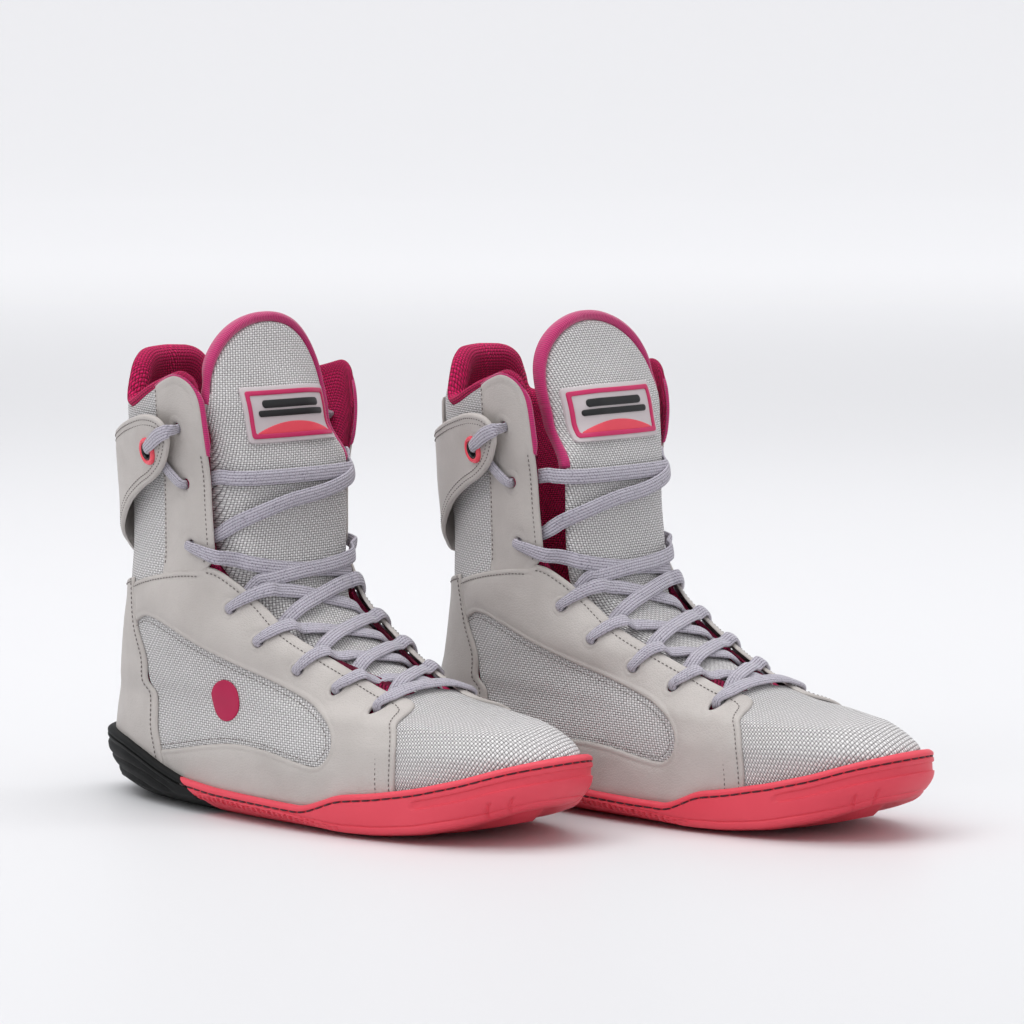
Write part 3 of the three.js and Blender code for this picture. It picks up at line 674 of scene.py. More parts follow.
MOTIF = rubber_material("printed motif", "#bf1450", "#a80f44", 0.55)
RING = gloss_material("ring", "#f04a5c", "#d93a4c", 0.25)
BARREL = gloss_material("barrel", "#161719", "#0d0e0f", 0.3)
AGLET = gloss_material("aglet", "#dedbd6", "#c9c5bf", 0.2, Coat_Weight=0.6)
BOARD = rubber_material("pressed board", "#b9a888", "#a39273", 0.85)
STIFFENER = rubber_material("stiffener", "#e3dfd8", "#cfcac2", 0.6)

# ---------------------------------------------------------------- outlines shared by both boots

COUNTER_SEAM = [[37, 99.5], [38.5, 94], [42, 78], [48, 65], [50.5, 51], [53.5, 36], [57.5, 24], [63, 9]]
SEAM_TOP = [[38.6, 97.4], [50, 100.6], [64, 103.6], [78, 105.6], [88, 106.2]]
THROAT = [[92.5, 108.4], [97, 107.6], [101.5, 105.4], [108, 100.6], [114, 95.2], [128, 84.4], [144, 76], [163, 67.4],
          [179, 61], [192, 57.3]]
QUARTER_FRONT = [[192, 57.3], [197.5, 54.6], [202.5, 48.5], [206, 41], [207.6, 33], [208.4, 22], [208.6, 9]]
WINDOW = [[41.9, 80.2], [50, 83.4], [58, 83.2], [71, 79.8], [89, 73.7], [111, 67], [137, 59.8], [155, 53.8],
          [165, 48.4], [171, 41.5], [171.8, 35.5], [168.4, 30.2], [162.5, 28.2], [150, 29.6], [131, 32.4],
          [112, 33], [93, 30.6], [71, 26.6], [57.9, 24.4]]
COLLAR = [[21.5, 196.2], [24.4, 190], [26, 182], [29, 175], [38, 176.4], [50, 181], [66, 187], [76, 190.6]]
RIM = [[18, 198.2], [21.5, 196.8], [24.4, 190.6], [26, 182.6], [29, 175.6], [38, 177], [50, 181.4], [66, 187.2],
       [78, 191.2], [83, 191.6], [88, 189.8], [91.6, 186.4], [94, 181], [97, 174]]
FLAP_TOP = [[63.5, 185.8], [70, 188.6], [78, 191.2], [83, 191.6], [88, 189.8], [91.6, 186.4], [94, 181], [95.2, 174],
            [95.6, 166], [95.4, 150], [95.6, 135], [96.4, 122], [96.6, 115], [94.6, 110], [91, 106.4], [88, 103]]
STRAP_TOP = [[18, 161.5], [30, 165.6], [41, 169.4], [52, 172.4], [61, 174.2], [70, 174.4], [76, 172.8],
             [79.6, 169], [80.2, 165], [78.4, 160.4], [73, 152.4], [64, 145.4], [54, 140.6], [42, 133.4], [30, 123],
             [18, 111.6]]
EYELETS = [[185, 54.5], [162.5, 60.3], [142.5, 67], [122.3, 78], [105.4, 91.2], [83.4, 117.4], [80.6, 144], [80.2, 168.5]]
GROMMET = [63.6, 158.6]
STRAP_LIFT = 4.2
# Heights along the sole, as x and z: its lip, the lower edge of its wall, its tread and its inner floor.
LIP_LINE = [[-10, 29], [10, 28.8], [30, 26.5], [43, 23.4], [60, 18.4], [75, 14.8], [100, 12.9], [150, 11.5],
            [160, 11.3], [170, 14.5], [180, 18.2], [200, 20.7], [220, 24.3], [240, 29.6], [255, 35], [275, 41]]
WALL_FOOT = [[-10, 9], [15, 7.5], [40, 6.2], [100, 6.4], [140, 5], [160, 3.8], [180, 2.3], [200, 3], [220, 5.1],
             [240, 9.5], [252, 12.8], [266, 17.5]]
TREAD = [[-10, 3], [12, 0], [195, 0], [220, 2.6], [240, 6.8], [266, 14.5]]
INNER_FLOOR = [[-20, 7.2], [205, 7.2], [235, 10.6], [290, 28.2]]
LIP_STEP = (150.0, 214.0, 12.0)
GLOW_START, GLOW_END, GLOW = 1.8, 5.0, 0.34
THROAT_FRONT = [[57.3, 192], [61, 179], [67.4, 163], [76, 144], [84.4, 128], [95.2, 114], [100.6, 107], [108, 98.6],
                [120, 96.6], [140, 95.4], [166, 95.4], [174, 95], [186, 92]]


def along(marks, x):
    """A slightly rounded reading of a line of marks."""
    marks = np.array(marks, float)
    return sum(np.interp(np.asarray(x, float) + d, marks[:, 0], marks[:, 1]) for d in (-4, -2, 0, 2, 4)) / 5


def lip_height(x, y):
    start, end, shift = LIP_STEP
    stretch = (end - start) / (end - start - shift)
    later = (y < 0) & (x > start) & (x < end)
    return along(LIP_LINE, np.where(later, np.maximum(start, end - (end - x) * stretch), x))


def tongue_offset(turn, z):
    """Just under the skin between the flaps, and tucked in below their edges and at the free top."""
    z = np.asarray(z, float)
    y = skin_base(turn, z)[..., 1]
    lateral = y >= 0
    free = smoothstep(z, 150, 172)
    front_x = np.interp(z, *np.array(THROAT_FRONT).T)
    half = np.where(lateral, skin_base(turn_at(front_x, z, 1), z)[..., 1], -skin_base(turn_at(front_x, z, -1), z)[..., 1])
    crest = -3.5 - 1.9 * free - 2.1 * smoothstep(z, 178, 204)
    start = half - 12 + np.where(lateral, 0, 8 - half + 12) * free
    end = half - 1 + np.where(lateral, 3, 41 - half) * free
    side = np.where(lateral, -6.6 - 2.0 * smoothstep(z, 182, 192), -6.6 - 6.6 * free)
    return crest + (side - crest) * smoothstep((np.abs(y) - start) / (end - start), 0, 1)


# ---------------------------------------------------------------- parts of one boot


def sole(boot):
    """The outsole: a moulded wall with a raised lip, a stitched channel, grooves and a notched tread."""
    below_lip = [0, 0.12, 0.4, 0.8, 1.4, 2.0, 2.35, 2.55, 2.75, 2.9, 3.05, 3.25, 3.5, 4.2, 4.9, 5.3, 5.6, 5.9, 6.3,
                 7.4, 8.5, 8.9, 9.2, 9.5, 10.0]
    above_foot = [4.4, 3.9, 3.5, 3.25, 3.0, 2.7, 2.3, 1.7, 1.1, 0.6, 0.25, 0]
    middle = np.linspace(0, 1, 16)[1:-1]
    arc_turn = np.linspace(-1, 1, 801)
    arc_points = skin_base(arc_turn, np.full(801, 20.0))
    arc = np.concatenate([[0], np.cumsum(np.linalg.norm(np.diff(arc_points, axis=0), axis=1))])
    arc -= np.interp(0, arc_turn, arc)
    full = arc[-1] - arc[0]

    specs = ([("lip", d) for d in below_lip] + [("mid", m) for m in middle] + [("foot", d) for d in above_foot])

    def row_height(kind, value, lip, foot):
        room = lip - foot - 3.5
        upper = np.minimum(1, 0.55 * room / 6.5)
        lower = np.minimum(1, 0.4 * room / 4.4)
        if kind == "lip":
            return lip - np.where(value > 3.5, 3.5 + (value - 3.5) * upper, value)
        if kind == "mid":
            high, low = lip - 3.5 - 6.5 * upper, foot + 4.4 * lower
            return high + (low - high) * value
        return foot + value * lower

    def rows_for(turn_rows):
        """turn_rows(height) gives the turns of a row."""
        rows = []
        for kind, value in specs:
            turn = turn_rows(row_height(kind, value, 14.2, 6.4))
            wrapped = np.where(turn > 1, turn - 2, turn)
            base = skin_base(turn, np.full(len(turn), 24.0))
            x = base[:, 0]
            lip, foot = lip_height(x, base[:, 1]), along(WALL_FOOT, x)
            height = row_height(kind, value, lip, foot)
            under, over = lip - height, height - foot
            lean = 1.1 + 3.8 * (1 - smoothstep(x, 0, 45)) + 5.6 * smoothstep(x, 232, 266)
            offset = 3.9 - lean * (1 - smoothstep(over / (lip - foot), -0.25, 0.55)) / 0.84
            offset -= 1.1 * (1 - np.clip(over / 1.6, 0, 1)) ** 2 + 1.7 * (1 - np.clip(under / 1.5, 0, 1)) ** 2
            offset -= 0.9 * np.exp(-((under - 2.9) / 0.42) ** 4)
            place = np.interp(wrapped, arc_turn, arc)
            toe = np.abs(np.abs(place) - full / 2)
            heel_side = x < 79
            end = np.clip((toe - 62) / 2.2, 0, 1)
            band = 2.0 * np.sqrt(np.maximum(1 - end ** 2, 0)) * (end < 1)
            capsule = np.clip((band - np.abs(under - 7.2)) / 0.35, 0, 1) * (x > 150)
            offset -= 0.75 * capsule
            offset -= np.where(x > 90, 0.5 * np.exp(-((over - 3.25) / 0.35) ** 2), 0)
            notch = (np.mod(place, 3.4) < 0.8) & (np.abs(x - 135) < 48)
            offset -= np.where(over < 2.6, 0.75 * notch, 0)
            for mark in (20.5, 29.5):
                bow = np.abs(toe - mark - 1.3 * np.cos((over - 4) / 3.2))
                offset -= 1.0 * np.exp(-(bow / 0.8) ** 4) * smoothstep(8.4 - over, 0, 1) * (x > 214)
            for g, d in ((5.6, 0.9), (10.2, 1.1), (15.4, 1.2), (20.2, 0.9)):
                swing = 1.6 * np.sin(place / 17.0)
                fade = smoothstep(79 - x, 4, 16)
                offset -= np.where(heel_side, fade * d * np.exp(-((under - g - swing * (g > 6)) / 1.0) ** 2), 0)
            z = np.clip(height, 12, None)
            point = skin(turn, z, offset)
            point[:, 2] = height
            rows.append((point, np.stack([place, height], -1)))
        foot_turn = turn_rows(6.4)
        base = skin_base(foot_turn, np.full(len(foot_turn), 24.0))
        foot, tread = along(WALL_FOOT, base[:, 0]), along(TREAD, base[:, 0])
        edge, edge_uv = rows[-1]
        inner_edge = skin(foot_turn, np.full(len(foot_turn), 12.0), np.full(len(foot_turn), -15.0))
        for share in (0.12, 0.3, 0.5, 0.72, 1.0):
            point = edge * (1 - share) + inner_edge * share
            point[:, 2] = tread + (foot - tread) * (1 - share) ** 1.8
            rows.append((point, edge_uv + [0, -16 * share]))
        tread_edge, tread_uv = rows[-1]
        for shrink in (0.7, 0.35, 0.04):
            point = tread_edge.copy()
            point[:, 1] *= shrink
            point[:, 0] = 120 + (point[:, 0] - 120) * (1 - (1 - shrink) * 0.12)
            point[:, 2] = along(TREAD, point[:, 0])
            rows.append((point, tread_uv))
        top, top_uv = rows[0]
        turn = turn_rows(14.2)
        base = skin_base(turn, np.full(len(turn), 24.0))
        floor = np.minimum(along(INNER_FLOOR, base[:, 0]), top[:, 2] - 1)
        middle_line = skin(turn, np.full(len(turn), 12.0), np.full(len(turn), -3.0))
        middle_line[:, 1] *= 0.04
        middle_line[:, 0] = 120 + (middle_line[:, 0] - 120) * 0.88
        middle_line[:, 2] = along(INNER_FLOOR, middle_line[:, 0])
        inner = [(middle_line, top_uv)]
        for height, offset in ((floor, -0.3), (top[:, 2] - 0.25, 0.4)):
            point = skin(turn, np.clip(height, 12, None), np.full(len(turn), offset))
            point[:, 2] = height
            inner.append((point, top_uv))
        return inner + rows

    def boundary(height, side):
        """Where the black heel meets the coral front: upright, and slanting forward near the ground."""
        x = 75 + 2.1 * max(0.0, 15 - height)
        return turn_at(np.array([x]), np.array([max(height, 12.0)]), side)[0]

    def build(name, turn_rows, material, slot, node):
        rows = rows_for(turn_rows)
        count = len(rows[0][0])
        points = np.vstack([r[0] for r in rows])
        uv = np.vstack([r[1] for r in rows])
        faces = []
        for i in range(len(rows)):
            j = (i + 1) % len(rows)
            for k in range(count - 1):
                faces.append((i * count + k, i * count + k + 1, j * count + k + 1, j * count + k))
        faces.append(tuple(i * count for i in range(len(rows))))
        faces.append(tuple(i * count + count - 1 for i in range(len(rows)))[::-1])
        return add_piece(boot, name, points, faces, material, [node], uv, sharp=42)

    spread = np.linspace(0, 1, 150)
    build("sole_heel", lambda q: boundary(q, 1) + (boundary(q, -1) - boundary(q, 1)) * spread,
          BLACK, "heel_rubber", "outsole_heel")
    spread_front = np.linspace(0, 1, 380)
    gap = 0.0012
    build("sole_front",
          lambda q: (boundary(q, 1) + gap) + (2 + boundary(q, -1) - boundary(q, 1) - 2 * gap) * spread_front,
          CORAL, "sole_rubber", "outsole_forefoot")

    rows = []
    turn = np.linspace(boundary(15, 1) + 0.004, 2 + boundary(15, -1) - 0.004, 900)
    base = skin_base(turn, np.full(900, 24.0))
    height = lip_height(base[:, 0], base[:, 1]) - 2.9
    line = skin(turn, np.clip(height, 12, None), np.full(900, 3.2))
    line[:, 2] = height
    reach = np.concatenate([[0], np.cumsum(np.linalg.norm(np.diff(line, axis=0), axis=1))])
    normal = skin_normal(turn, np.clip(height, 12, None))
    at = np.arange(0.5, reach[-1] - 5, 5.4)
    pick = lambda values, where: np.stack([np.interp(where, reach, values[:, k]) for k in range(3)], -1)
    rows.append((pick(line, at), pick(line, at + 4.9), pick(normal, at + 2.4), 0.42))
    add_stitches(boot, "sole_stitches", rows, SOLE_THREAD)


def quarters(boot):
    for name, side in (("lateral", 1), ("medial", -1)):
        chart = SideChart(side)
        seam = np.array(COUNTER_SEAM)
        seam_low = seam[seam[:, 1] < 24.6] + [0.35, 0]
        seam_high = np.array([[41.9, 80.2], [39.6, 88], [38.6, 97.4]])
        outline = ring(curve(SEAM_TOP), curve(THROAT), curve(QUARTER_FRONT), curve([[208.6, 9], [130, 8.6], [63.4, 9]]),
                       curve(seam_low[::-1]), curve(WINDOW[::-1]), curve(seam_high))
        holes = [circle(e, 2.25) for e in EYELETS[:5]]
        points, faces, uv = panel(chart, [outline] + holes, -1.1, 1.35, insets=(1.9, 2.4, 2.9),
                                  shape=groove(2.4), wave=1.3)
        add_piece(boot, f"quarter_{name}", points, faces, LEATHER, [f"quarter_{name}"], uv)

        window = ring(curve([[37, 84], [44, 86.5], [58, 86.4], [92, 76.5], [138, 63], [158, 56.6], [172, 49]]),
                      curve([[172, 49], [175.4, 40], [174.6, 32], [168, 26]]),
                      curve([[168, 26], [150, 26.2], [112, 29.4], [70, 22.6], [55, 20.6]]),
                      curve([[55, 20.6], [51.4, 36], [48.4, 51], [46, 64], [40, 77], [37, 84]]))
        points, faces, uv = panel(chart, [window], -2.5, 1.15, spacing=3.0)
        add_piece(boot, f"window_{name}", points, faces, MESH, [f"window_mesh_{name}"], uv)

        rows = []
        level = 0.2
        rows.append(stitch_row(chart, beside(curve(WINDOW, 0.8), -2.2), level))
        throat = np.vstack([curve(THROAT, 0.8), curve(QUARTER_FRONT, 0.8)[1:-9]])
        rows.append(stitch_row(chart, beside(throat, 2.4 * -1), level))
        rows.append(stitch_row(chart, beside(curve(SEAM_TOP, 0.8), -2.2), level))
        front = beside(curve(QUARTER_FRONT[2:], 0.8), -9.5)
        rows.append(stitch_row(chart, front[front[:, 1] < 42], level))
        add_stitches(boot, f"quarter_stitches_{name}", rows, THREAD)


def counter(boot):
    chart = HeelChart()
    seam = np.array(COUNTER_SEAM)
    sides = {s: curve(chart.flat(seam[:, 0], seam[:, 1], s)) for s in (1, -1)}
    top = [sides[-1][0], [-20, 95.2], [0, 94.2], [20, 95.2], sides[1][0]]
    bottom = [sides[1][-1], [46, 16], [24, 18], [0, 18], [-24, 18], [-46, 16], sides[-1][-1]]
    outline = ring(sides[1][::-1], curve(np.array(top)[::-1]), sides[-1], curve(np.array(bottom)[::-1]))
    points, faces, uv = panel(chart, [outline], -1.1, 1.45, insets=(1.6, 2.1, 2.6), shape=groove(2.1))
    add_piece(boot, "counter", points, faces, LEATHER, ["heel_counter"], uv)
    rows = [stitch_row(chart, beside(sides[1], -2.1), 0.32), stitch_row(chart, beside(sides[-1], 2.1), 0.32),
            stitch_row(chart, beside(curve(top), -2.1), 0.32)]
    add_stitches(boot, "counter_stitches", rows, THREAD)


def shaft(boot):
    chart = HeelChart()
    line = np.array(COLLAR)
    lateral = chart.flat(line[:, 0], line[:, 1], 1)
    medial = chart.flat(line[:, 0], line[:, 1], -1)
    front_l = chart.flat(np.array([69, 69.0]), np.array([187, 96.0]), 1)
    front_m = chart.flat(np.array([69, 69.0]), np.array([96, 187.0]), -1)
    keep = line[:, 0] < 67
    top = np.vstack([medial[keep][::-1], [[0, 197.6]], lateral[keep]])
    outline = ring(curve(top), curve(front_l), curve([front_l[-1], [60, 92], [0, 90], [-60, 92], front_m[0]]),
                   curve(front_m))
    points, faces, uv = panel(chart, [outline], -2.6, 1.2, spacing=3.0)
    add_piece(boot, "shaft_mesh", points, faces, MESH, ["shaft_mesh_lateral", "shaft_mesh_medial"], uv)

    for name, side in (("lateral", 1), ("medial", -1)):
        side_chart = SideChart(side)
        outline = ring(curve(FLAP_TOP), curve([[88, 103], [78, 101], [63.5, 99.5]]),
                       curve([[63.5, 99.5], [63.5, 150], [63.5, 185.8]]))
        holes = [circle(e, 2.3) for e in EYELETS[5:]]
        points, faces, uv = panel(side_chart, [outline] + holes, -1.5, 1.35, insets=(3.3, 3.8, 4.3),
                                  shape=groove(3.8, 0.5, 0.2), wave=1.5)
        add_piece(boot, f"flap_{name}", points, faces, LEATHER, [f"shaft_flap_{name}"], uv)
        front = curve(FLAP_TOP, 0.8)
        low = front[(front[:, 1] < 158) & (front[:, 1] > 108)]
        rows = [stitch_row(side_chart, beside(low, -2.9), -0.1),
                stitch_row(side_chart, curve([[65.4, 185], [65.4, 150], [65.4, 108]]), -0.1)]
        add_stitches(boot, f"flap_stitches_{name}", rows, THREAD)
        edge = front[front[:, 1] > 156]
        wide = 0.8 + 1.0 * smoothstep(-edge[:, 1], -188, -180) * smoothstep(edge[:, 1], 156, 162)
        ahead = np.stack([beside(edge, 1.0)[:, k] - edge[:, k] for k in (0, 1)], -1)
        outline = ring(edge - 0.5 * ahead, (edge + wide[:, None] * ahead)[::-1])
        points, faces, uv = panel(side_chart, [outline], -1.9, 1.5, spacing=1.4, edge=0.7)
        add_piece(boot, f"flap_edging_{name}", points, faces, BINDING, uv=uv[:, ::-1])


def strap_level(turn, z):
    return 1.6 + (STRAP_LIFT - 1.6) * smoothstep(np.abs(turn), 0.04, 0.36)


def straps(boot):
    chart = HeelChart()
    line = np.array(STRAP_TOP)
    for name, side in (("lateral", 1), ("medial", -1)):
        flat = chart.flat(line[:, 0], line[:, 1], side)
        near = side * 0.3
        start = np.vstack([[[near, 159.5], [side * 9, 159.8]], flat])
        end = np.vstack([flat[-1:], [[side * 9, 106.8], [near, 106]]])
        outline = ring(curve(start), curve(end), curve([[near, 106], [near, 159.5]]))
        hole = circle(chart.flat(*GROMMET, side), 3.6)
        points, faces, uv = panel(chart, [outline, hole], 0, 1.9, spacing=2.4, edge=1.4, insets=(1.7, 2.1, 3.9, 4.3),
                                  shape=groove((2.1, 4.2), 0.45, 0.22), offset=strap_level)
        add_piece(boot, f"strap_{name}", points, faces, LEATHER, [f"strap_{name}"], uv)
        edge = curve(start, 0.8)
        inward = -2.1 * side
        level = lambda turn, z: strap_level(turn, z) + 1.78
        rows = [stitch_row(chart, beside(edge, inward), level), stitch_row(chart, beside(edge, 2 * inward), level)]
        add_stitches(boot, f"strap_stitches_{name}", rows, THREAD)
        grommet(boot, name, side)

    tab = ring(curve([[-8, 157.5], [8, 157.5]]), curve([[8, 157.5], [8.4, 166], [8, 175.5]]),
               curve([[8, 175.5], [0, 176.3], [-8, 175.5]]), curve([[-8, 175.5], [-8.4, 166], [-8, 157.5]]))
    points, faces, uv = panel(chart, [tab], 2.9, 1.2, spacing=1.8, edge=0.9)
    add_piece(boot, "back_tab", points, faces, LEATHER_EDGE, ["back_tab"], uv)
    mark = ring(curve([[-4.6, 160.5], [4.6, 160.5]]), curve([[4.6, 160.5], [4.6, 172]]),
                curve([[4.6, 172], [-4.6, 172]]), curve([[-4.6, 172], [-4.6, 160.5]]))
    points, faces, uv = panel(chart, [mark], 4.0, 0.35, spacing=1.6, edge=0.4)
    add_piece(boot, "back_tab_stripe", points, faces, PATCH_FRAME, uv=uv)


def lathe(boot, name, side, profile, level, material, replaces=(), segments=40):
    x, z = GROMMET
    turn = turn_at(np.array([x], float), np.array([z], float), side)
    centre = skin(turn, np.array([z], float), np.array([level]))[0]
    normal = skin_normal(turn, np.array([z], float))[0]
    first = np.cross(normal, [0, 0, 1.0])
    first /= np.linalg.norm(first)
    second = np.cross(normal, first)
    points, faces = [], []
    count = len(profile)
    for k in range(segments):
        a = 2 * math.pi * k / segments
        ray = math.cos(a) * first + math.sin(a) * second
        points.extend(centre + r * ray + h * normal for r, h in profile)
        n = (k + 1) % segments
        for i in range(count):
            j = (i + 1) % count
            faces.append((k * count + i, k * count + j, n * count + j, n * count + i))
    add_piece(boot, name, np.array(points), faces, material, replaces, sharp=60)


def grommet(boot, name, side):
    top = STRAP_LIFT + 1.8
    flange = [(3.9, 0.0), (3.9, 1.0), (4.3, 1.45), (5.0, 1.6), (5.7, 1.35), (6.1, 0.7), (6.15, 0.0)]
    lathe(boot, f"ring_{name}", side, flange, top - 0.15, RING, [f"grommet_{name}"])
    barrel = [(2.9, -3.2), (2.95, 0.7), (3.2, 1.25), (3.6, 1.4), (3.95, 1.1), (3.9, 0.6), (3.5, 0.2), (3.5, -3.2)]
    lathe(boot, f"barrel_{name}", side, barrel, top - 0.15, BARREL)


def vamp(boot):
    chart = ToeChart()

    def rear(side):
        line = np.array([[202, 8.6], [202, 24], [201.5, 38], [196, 46], [188, 53.5], [184.5, 58], [184, 60.4]])
        flat = chart.flat(line[:, 0], line[:, 1], side)
        flat[-1, 0] += (chart.scale - flat[-1, 0]) * 0.55
        return flat

    lateral, medial = rear(1), rear(-1)
    ridge = [chart.scale, ridge_length(61.6)]
    turn = np.linspace(lateral[0, 0], medial[0, 0], 41) / chart.scale
    bottom = along(INNER_FLOOR, skin_base(turn, np.full(41, 12.0))[:, 0]) + 1.4
    bottom = np.stack([turn * chart.scale, ridge_length(bottom)], -1)
    outline = ring(curve(lateral), curve([lateral[-1], ridge, medial[-1]]), curve(medial[::-1]),
                   bottom[::-1])
    points, faces, uv = panel(chart, [outline], -2.6, 1.2, spacing=2.6, wave=1.4)
    obj = add_piece(boot, "vamp", points, faces, MESH, ["vamp"], uv)
    unwrap(obj, len(points) // 2)


def unwrap(obj, count):
    """Lays the outer face out flat with little stretch, then scales it to millimetres and lines it up with +X."""
    mesh = obj.data
    bpy.ops.object.select_all(action="DESELECT")
    bpy.context.view_layer.objects.active = obj
    obj.select_set(True)
    outer = [all(v < count for v in p.vertices) for p in mesh.polygons]
    mesh.polygons.foreach_set("select", outer)
    bpy.ops.object.mode_set(mode="EDIT")
    bpy.context.tool_settings.mesh_select_mode = (False, False, True)
    bpy.ops.object.mode_set(mode="OBJECT")
    mesh.polygons.foreach_set("select", outer)
    bpy.ops.object.mode_set(mode="EDIT")
    bpy.ops.uv.unwrap(method="CONFORMAL", margin=0.0)
    bpy.ops.object.mode_set(mode="OBJECT")
    obj.select_set(False)
    layer = mesh.uv_layers.active.data
    uv = np.empty(len(layer) * 2, np.float32)
    layer.foreach_get("uv", uv)
    uv = uv.reshape(-1, 2).astype(float)
    index = np.empty(len(mesh.loops), int)
    mesh.loops.foreach_get("vertex_index", index)
    co = np.array([v.co for v in mesh.vertices])
    place = np.full((len(co), 2), np.nan)
    for p, ok in zip(mesh.polygons, outer):
        if ok:
            for li in p.loop_indices:
                place[index[li]] = uv[li]
    good = ~np.isnan(place[:count, 0])
    source, target = place[:count][good], co[:count][good, :2] * 1000
    source_c, target_c = source - source.mean(0), target - target.mean(0)
    u, s, vt = np.linalg.svd(source_c.T @ target_c)
    rotation = u @ vt
    area_3d = sum(p.area for p, ok in zip(mesh.polygons, outer) if ok) * 1e6
    area_uv = 0.0
    for p, ok in zip(mesh.polygons, outer):
        if ok:
            q = uv[list(p.loop_indices)]
            x, y = q[:, 0], q[:, 1]
            area_uv += abs((x * np.roll(y, -1) - np.roll(x, -1) * y).sum()) / 2
    scale = math.sqrt(area_3d / max(area_uv, 1e-12))
    final = (place - source.mean(0)) @ rotation * scale
    final[np.isnan(final)] = 0
    final[count:] = final[:count]
    layer.foreach_set("uv", final[index].astype(np.float32).ravel())


def tongue(boot):
    chart = TongueChart()
    edge = np.array([[98, 100], [92, 112], [91, 158], [90, 174], [88, 183]])

    def side_line(side):
        low = np.array([[27, 57], [31, 66], [35, 80]])
        high = np.abs(on_skin(edge[:, 0], edge[:, 1], side)[:, 1])
        high = np.stack([high, edge[:, 1]], -1) if side > 0 else np.array([[36, 100], [36, 112], [35, 150], [33, 180]])
        line = np.vstack([low, high])
        return np.stack([side * line[:, 0], ridge_length(line[:, 1])], -1)

    def arch(lateral, medial, apex):
        angle = np.linspace(0, np.pi, 61)
        pick = lambda first, second: np.where(angle < np.pi / 2, first, second)
        wide, low = pick(lateral, medial), pick(178.0, 181.8)
        z = low + (apex - low) * np.maximum(np.sin(angle), 0) ** pick(1.17, 0.85)
        return np.stack([wide * np.cos(angle), ridge_length(z)], -1)

    sides = {side: side_line(side) for side in (1, -1)}
    top = arch(44.4, 33, 216)
    outline = ring(curve([sides[-1][0], sides[1][0]]), curve(sides[1]), curve(top[top[:, 1] > ridge_length(185)]),
                   curve(sides[-1][::-1]))
    points, faces, uv = panel(chart, [outline], -3.4, 3.4, spacing=2.8, edge=2.6, offset=tongue_offset, wave=2.2)
    face = add_piece(boot, "tongue_face", points, faces, MESH, ["tongue_lower", "tongue_top"], uv,
                     body="blend")

    leg = lambda width, z: [[width, ridge_length(z)]]
    outer, inner = arch(49.5, 37.6, 220.4), arch(44, 32.6, 215.6)
    strip = ring(curve(np.vstack([outer, leg(-37.6, 150)])), curve(np.vstack([leg(-32.6, 150), inner[::-1]])))
    points, faces, flat = panel(chart, [strip], -4.3, 5.0, spacing=1.7, edge=2.3, offset=tongue_offset, wave=0.8)
    y, s = flat[:, 0], flat[:, 1]
    s0 = ridge_length(181.0)
    around = np.where(s < s0, np.sign(y) * (s0 - s + 55), np.arctan2(y, s - s0 + 4) * 36)
    across = np.where(s < s0, np.abs(y), np.hypot(y, (s - s0 + 4)))
    add_piece(boot, "tongue_binding", points, faces, BINDING, ["tongue_binding"],
              np.stack([around, across], -1), body="blend")
    patch(boot, chart)


def rounded_rectangle(centre, half_width, half_height, radius, skewed=0.0):
    points = []
    for cx, cy, start in ((1, 1, 0), (-1, 1, 90), (-1, -1, 180), (1, -1, 270)):
        for a in np.radians(np.linspace(start, start + 90, 6)):
            x = cx * (half_width - radius) + radius * math.cos(a)
            y = cy * (half_height - radius) + radius * math.sin(a)
            points.append([centre[0] + x, centre[1] + y + skewed * x])
    return ring(np.vstack([curve([p, q], 1.5)[:-1] for p, q in zip(points, points[1:] + points[:1])]))


def patch(boot, chart):
    middle = [0, (ridge_length(162.4) + ridge_length(187.6)) / 2]
    half_height = (ridge_length(187.6) - ridge_length(162.4)) / 2
    layers = [
        ("patch_base", [rounded_rectangle(middle, 28, half_height, 2.0)], 0.15, 1.3, PATCH_BASE, "patch"),
        ("patch_frame", [rounded_rectangle(middle, 26, half_height - 2, 1.4),
                         rounded_rectangle(middle, 23.8, half_height - 4.2, 0.9)], 1.35, 0.7, PATCH_FRAME, "motif"),
    ]
    bars = [(4.6, 17.5, 1.9), (0.2, 20.5, 1.5)]
    for i, (rise, width, height) in enumerate(bars):
        layers.append((f"patch_bar_{i}", [rounded_rectangle([0, middle[1] + rise], width, height, height * 0.9)],
                       1.35, 0.75, PATCH_DARK, "motif"))
    low = middle[1] - half_height + 4.6
    arc = [[x, low + 4.6 * (1 - (x / 22.5) ** 2)] for x in np.linspace(22.5, -22.5, 15)]
    layers.append(("patch_arc", [ring(curve([[-22.5, low - 0.6], [22.5, low - 0.6]]), curve(arc))], 1.35, 0.5,
                   CORAL, "motif"))
    for name, rings, base, thickness, material, slot in layers:
        points, faces, uv = panel(chart, rings, base, thickness, spacing=1.6, edge=0.45, offset=tongue_offset,
                                  wave=0.0)
        replaces = ["tongue_patch"] if name == "patch_base" else []
        add_piece(boot, name, points, faces, material, replaces, uv, body="blend")


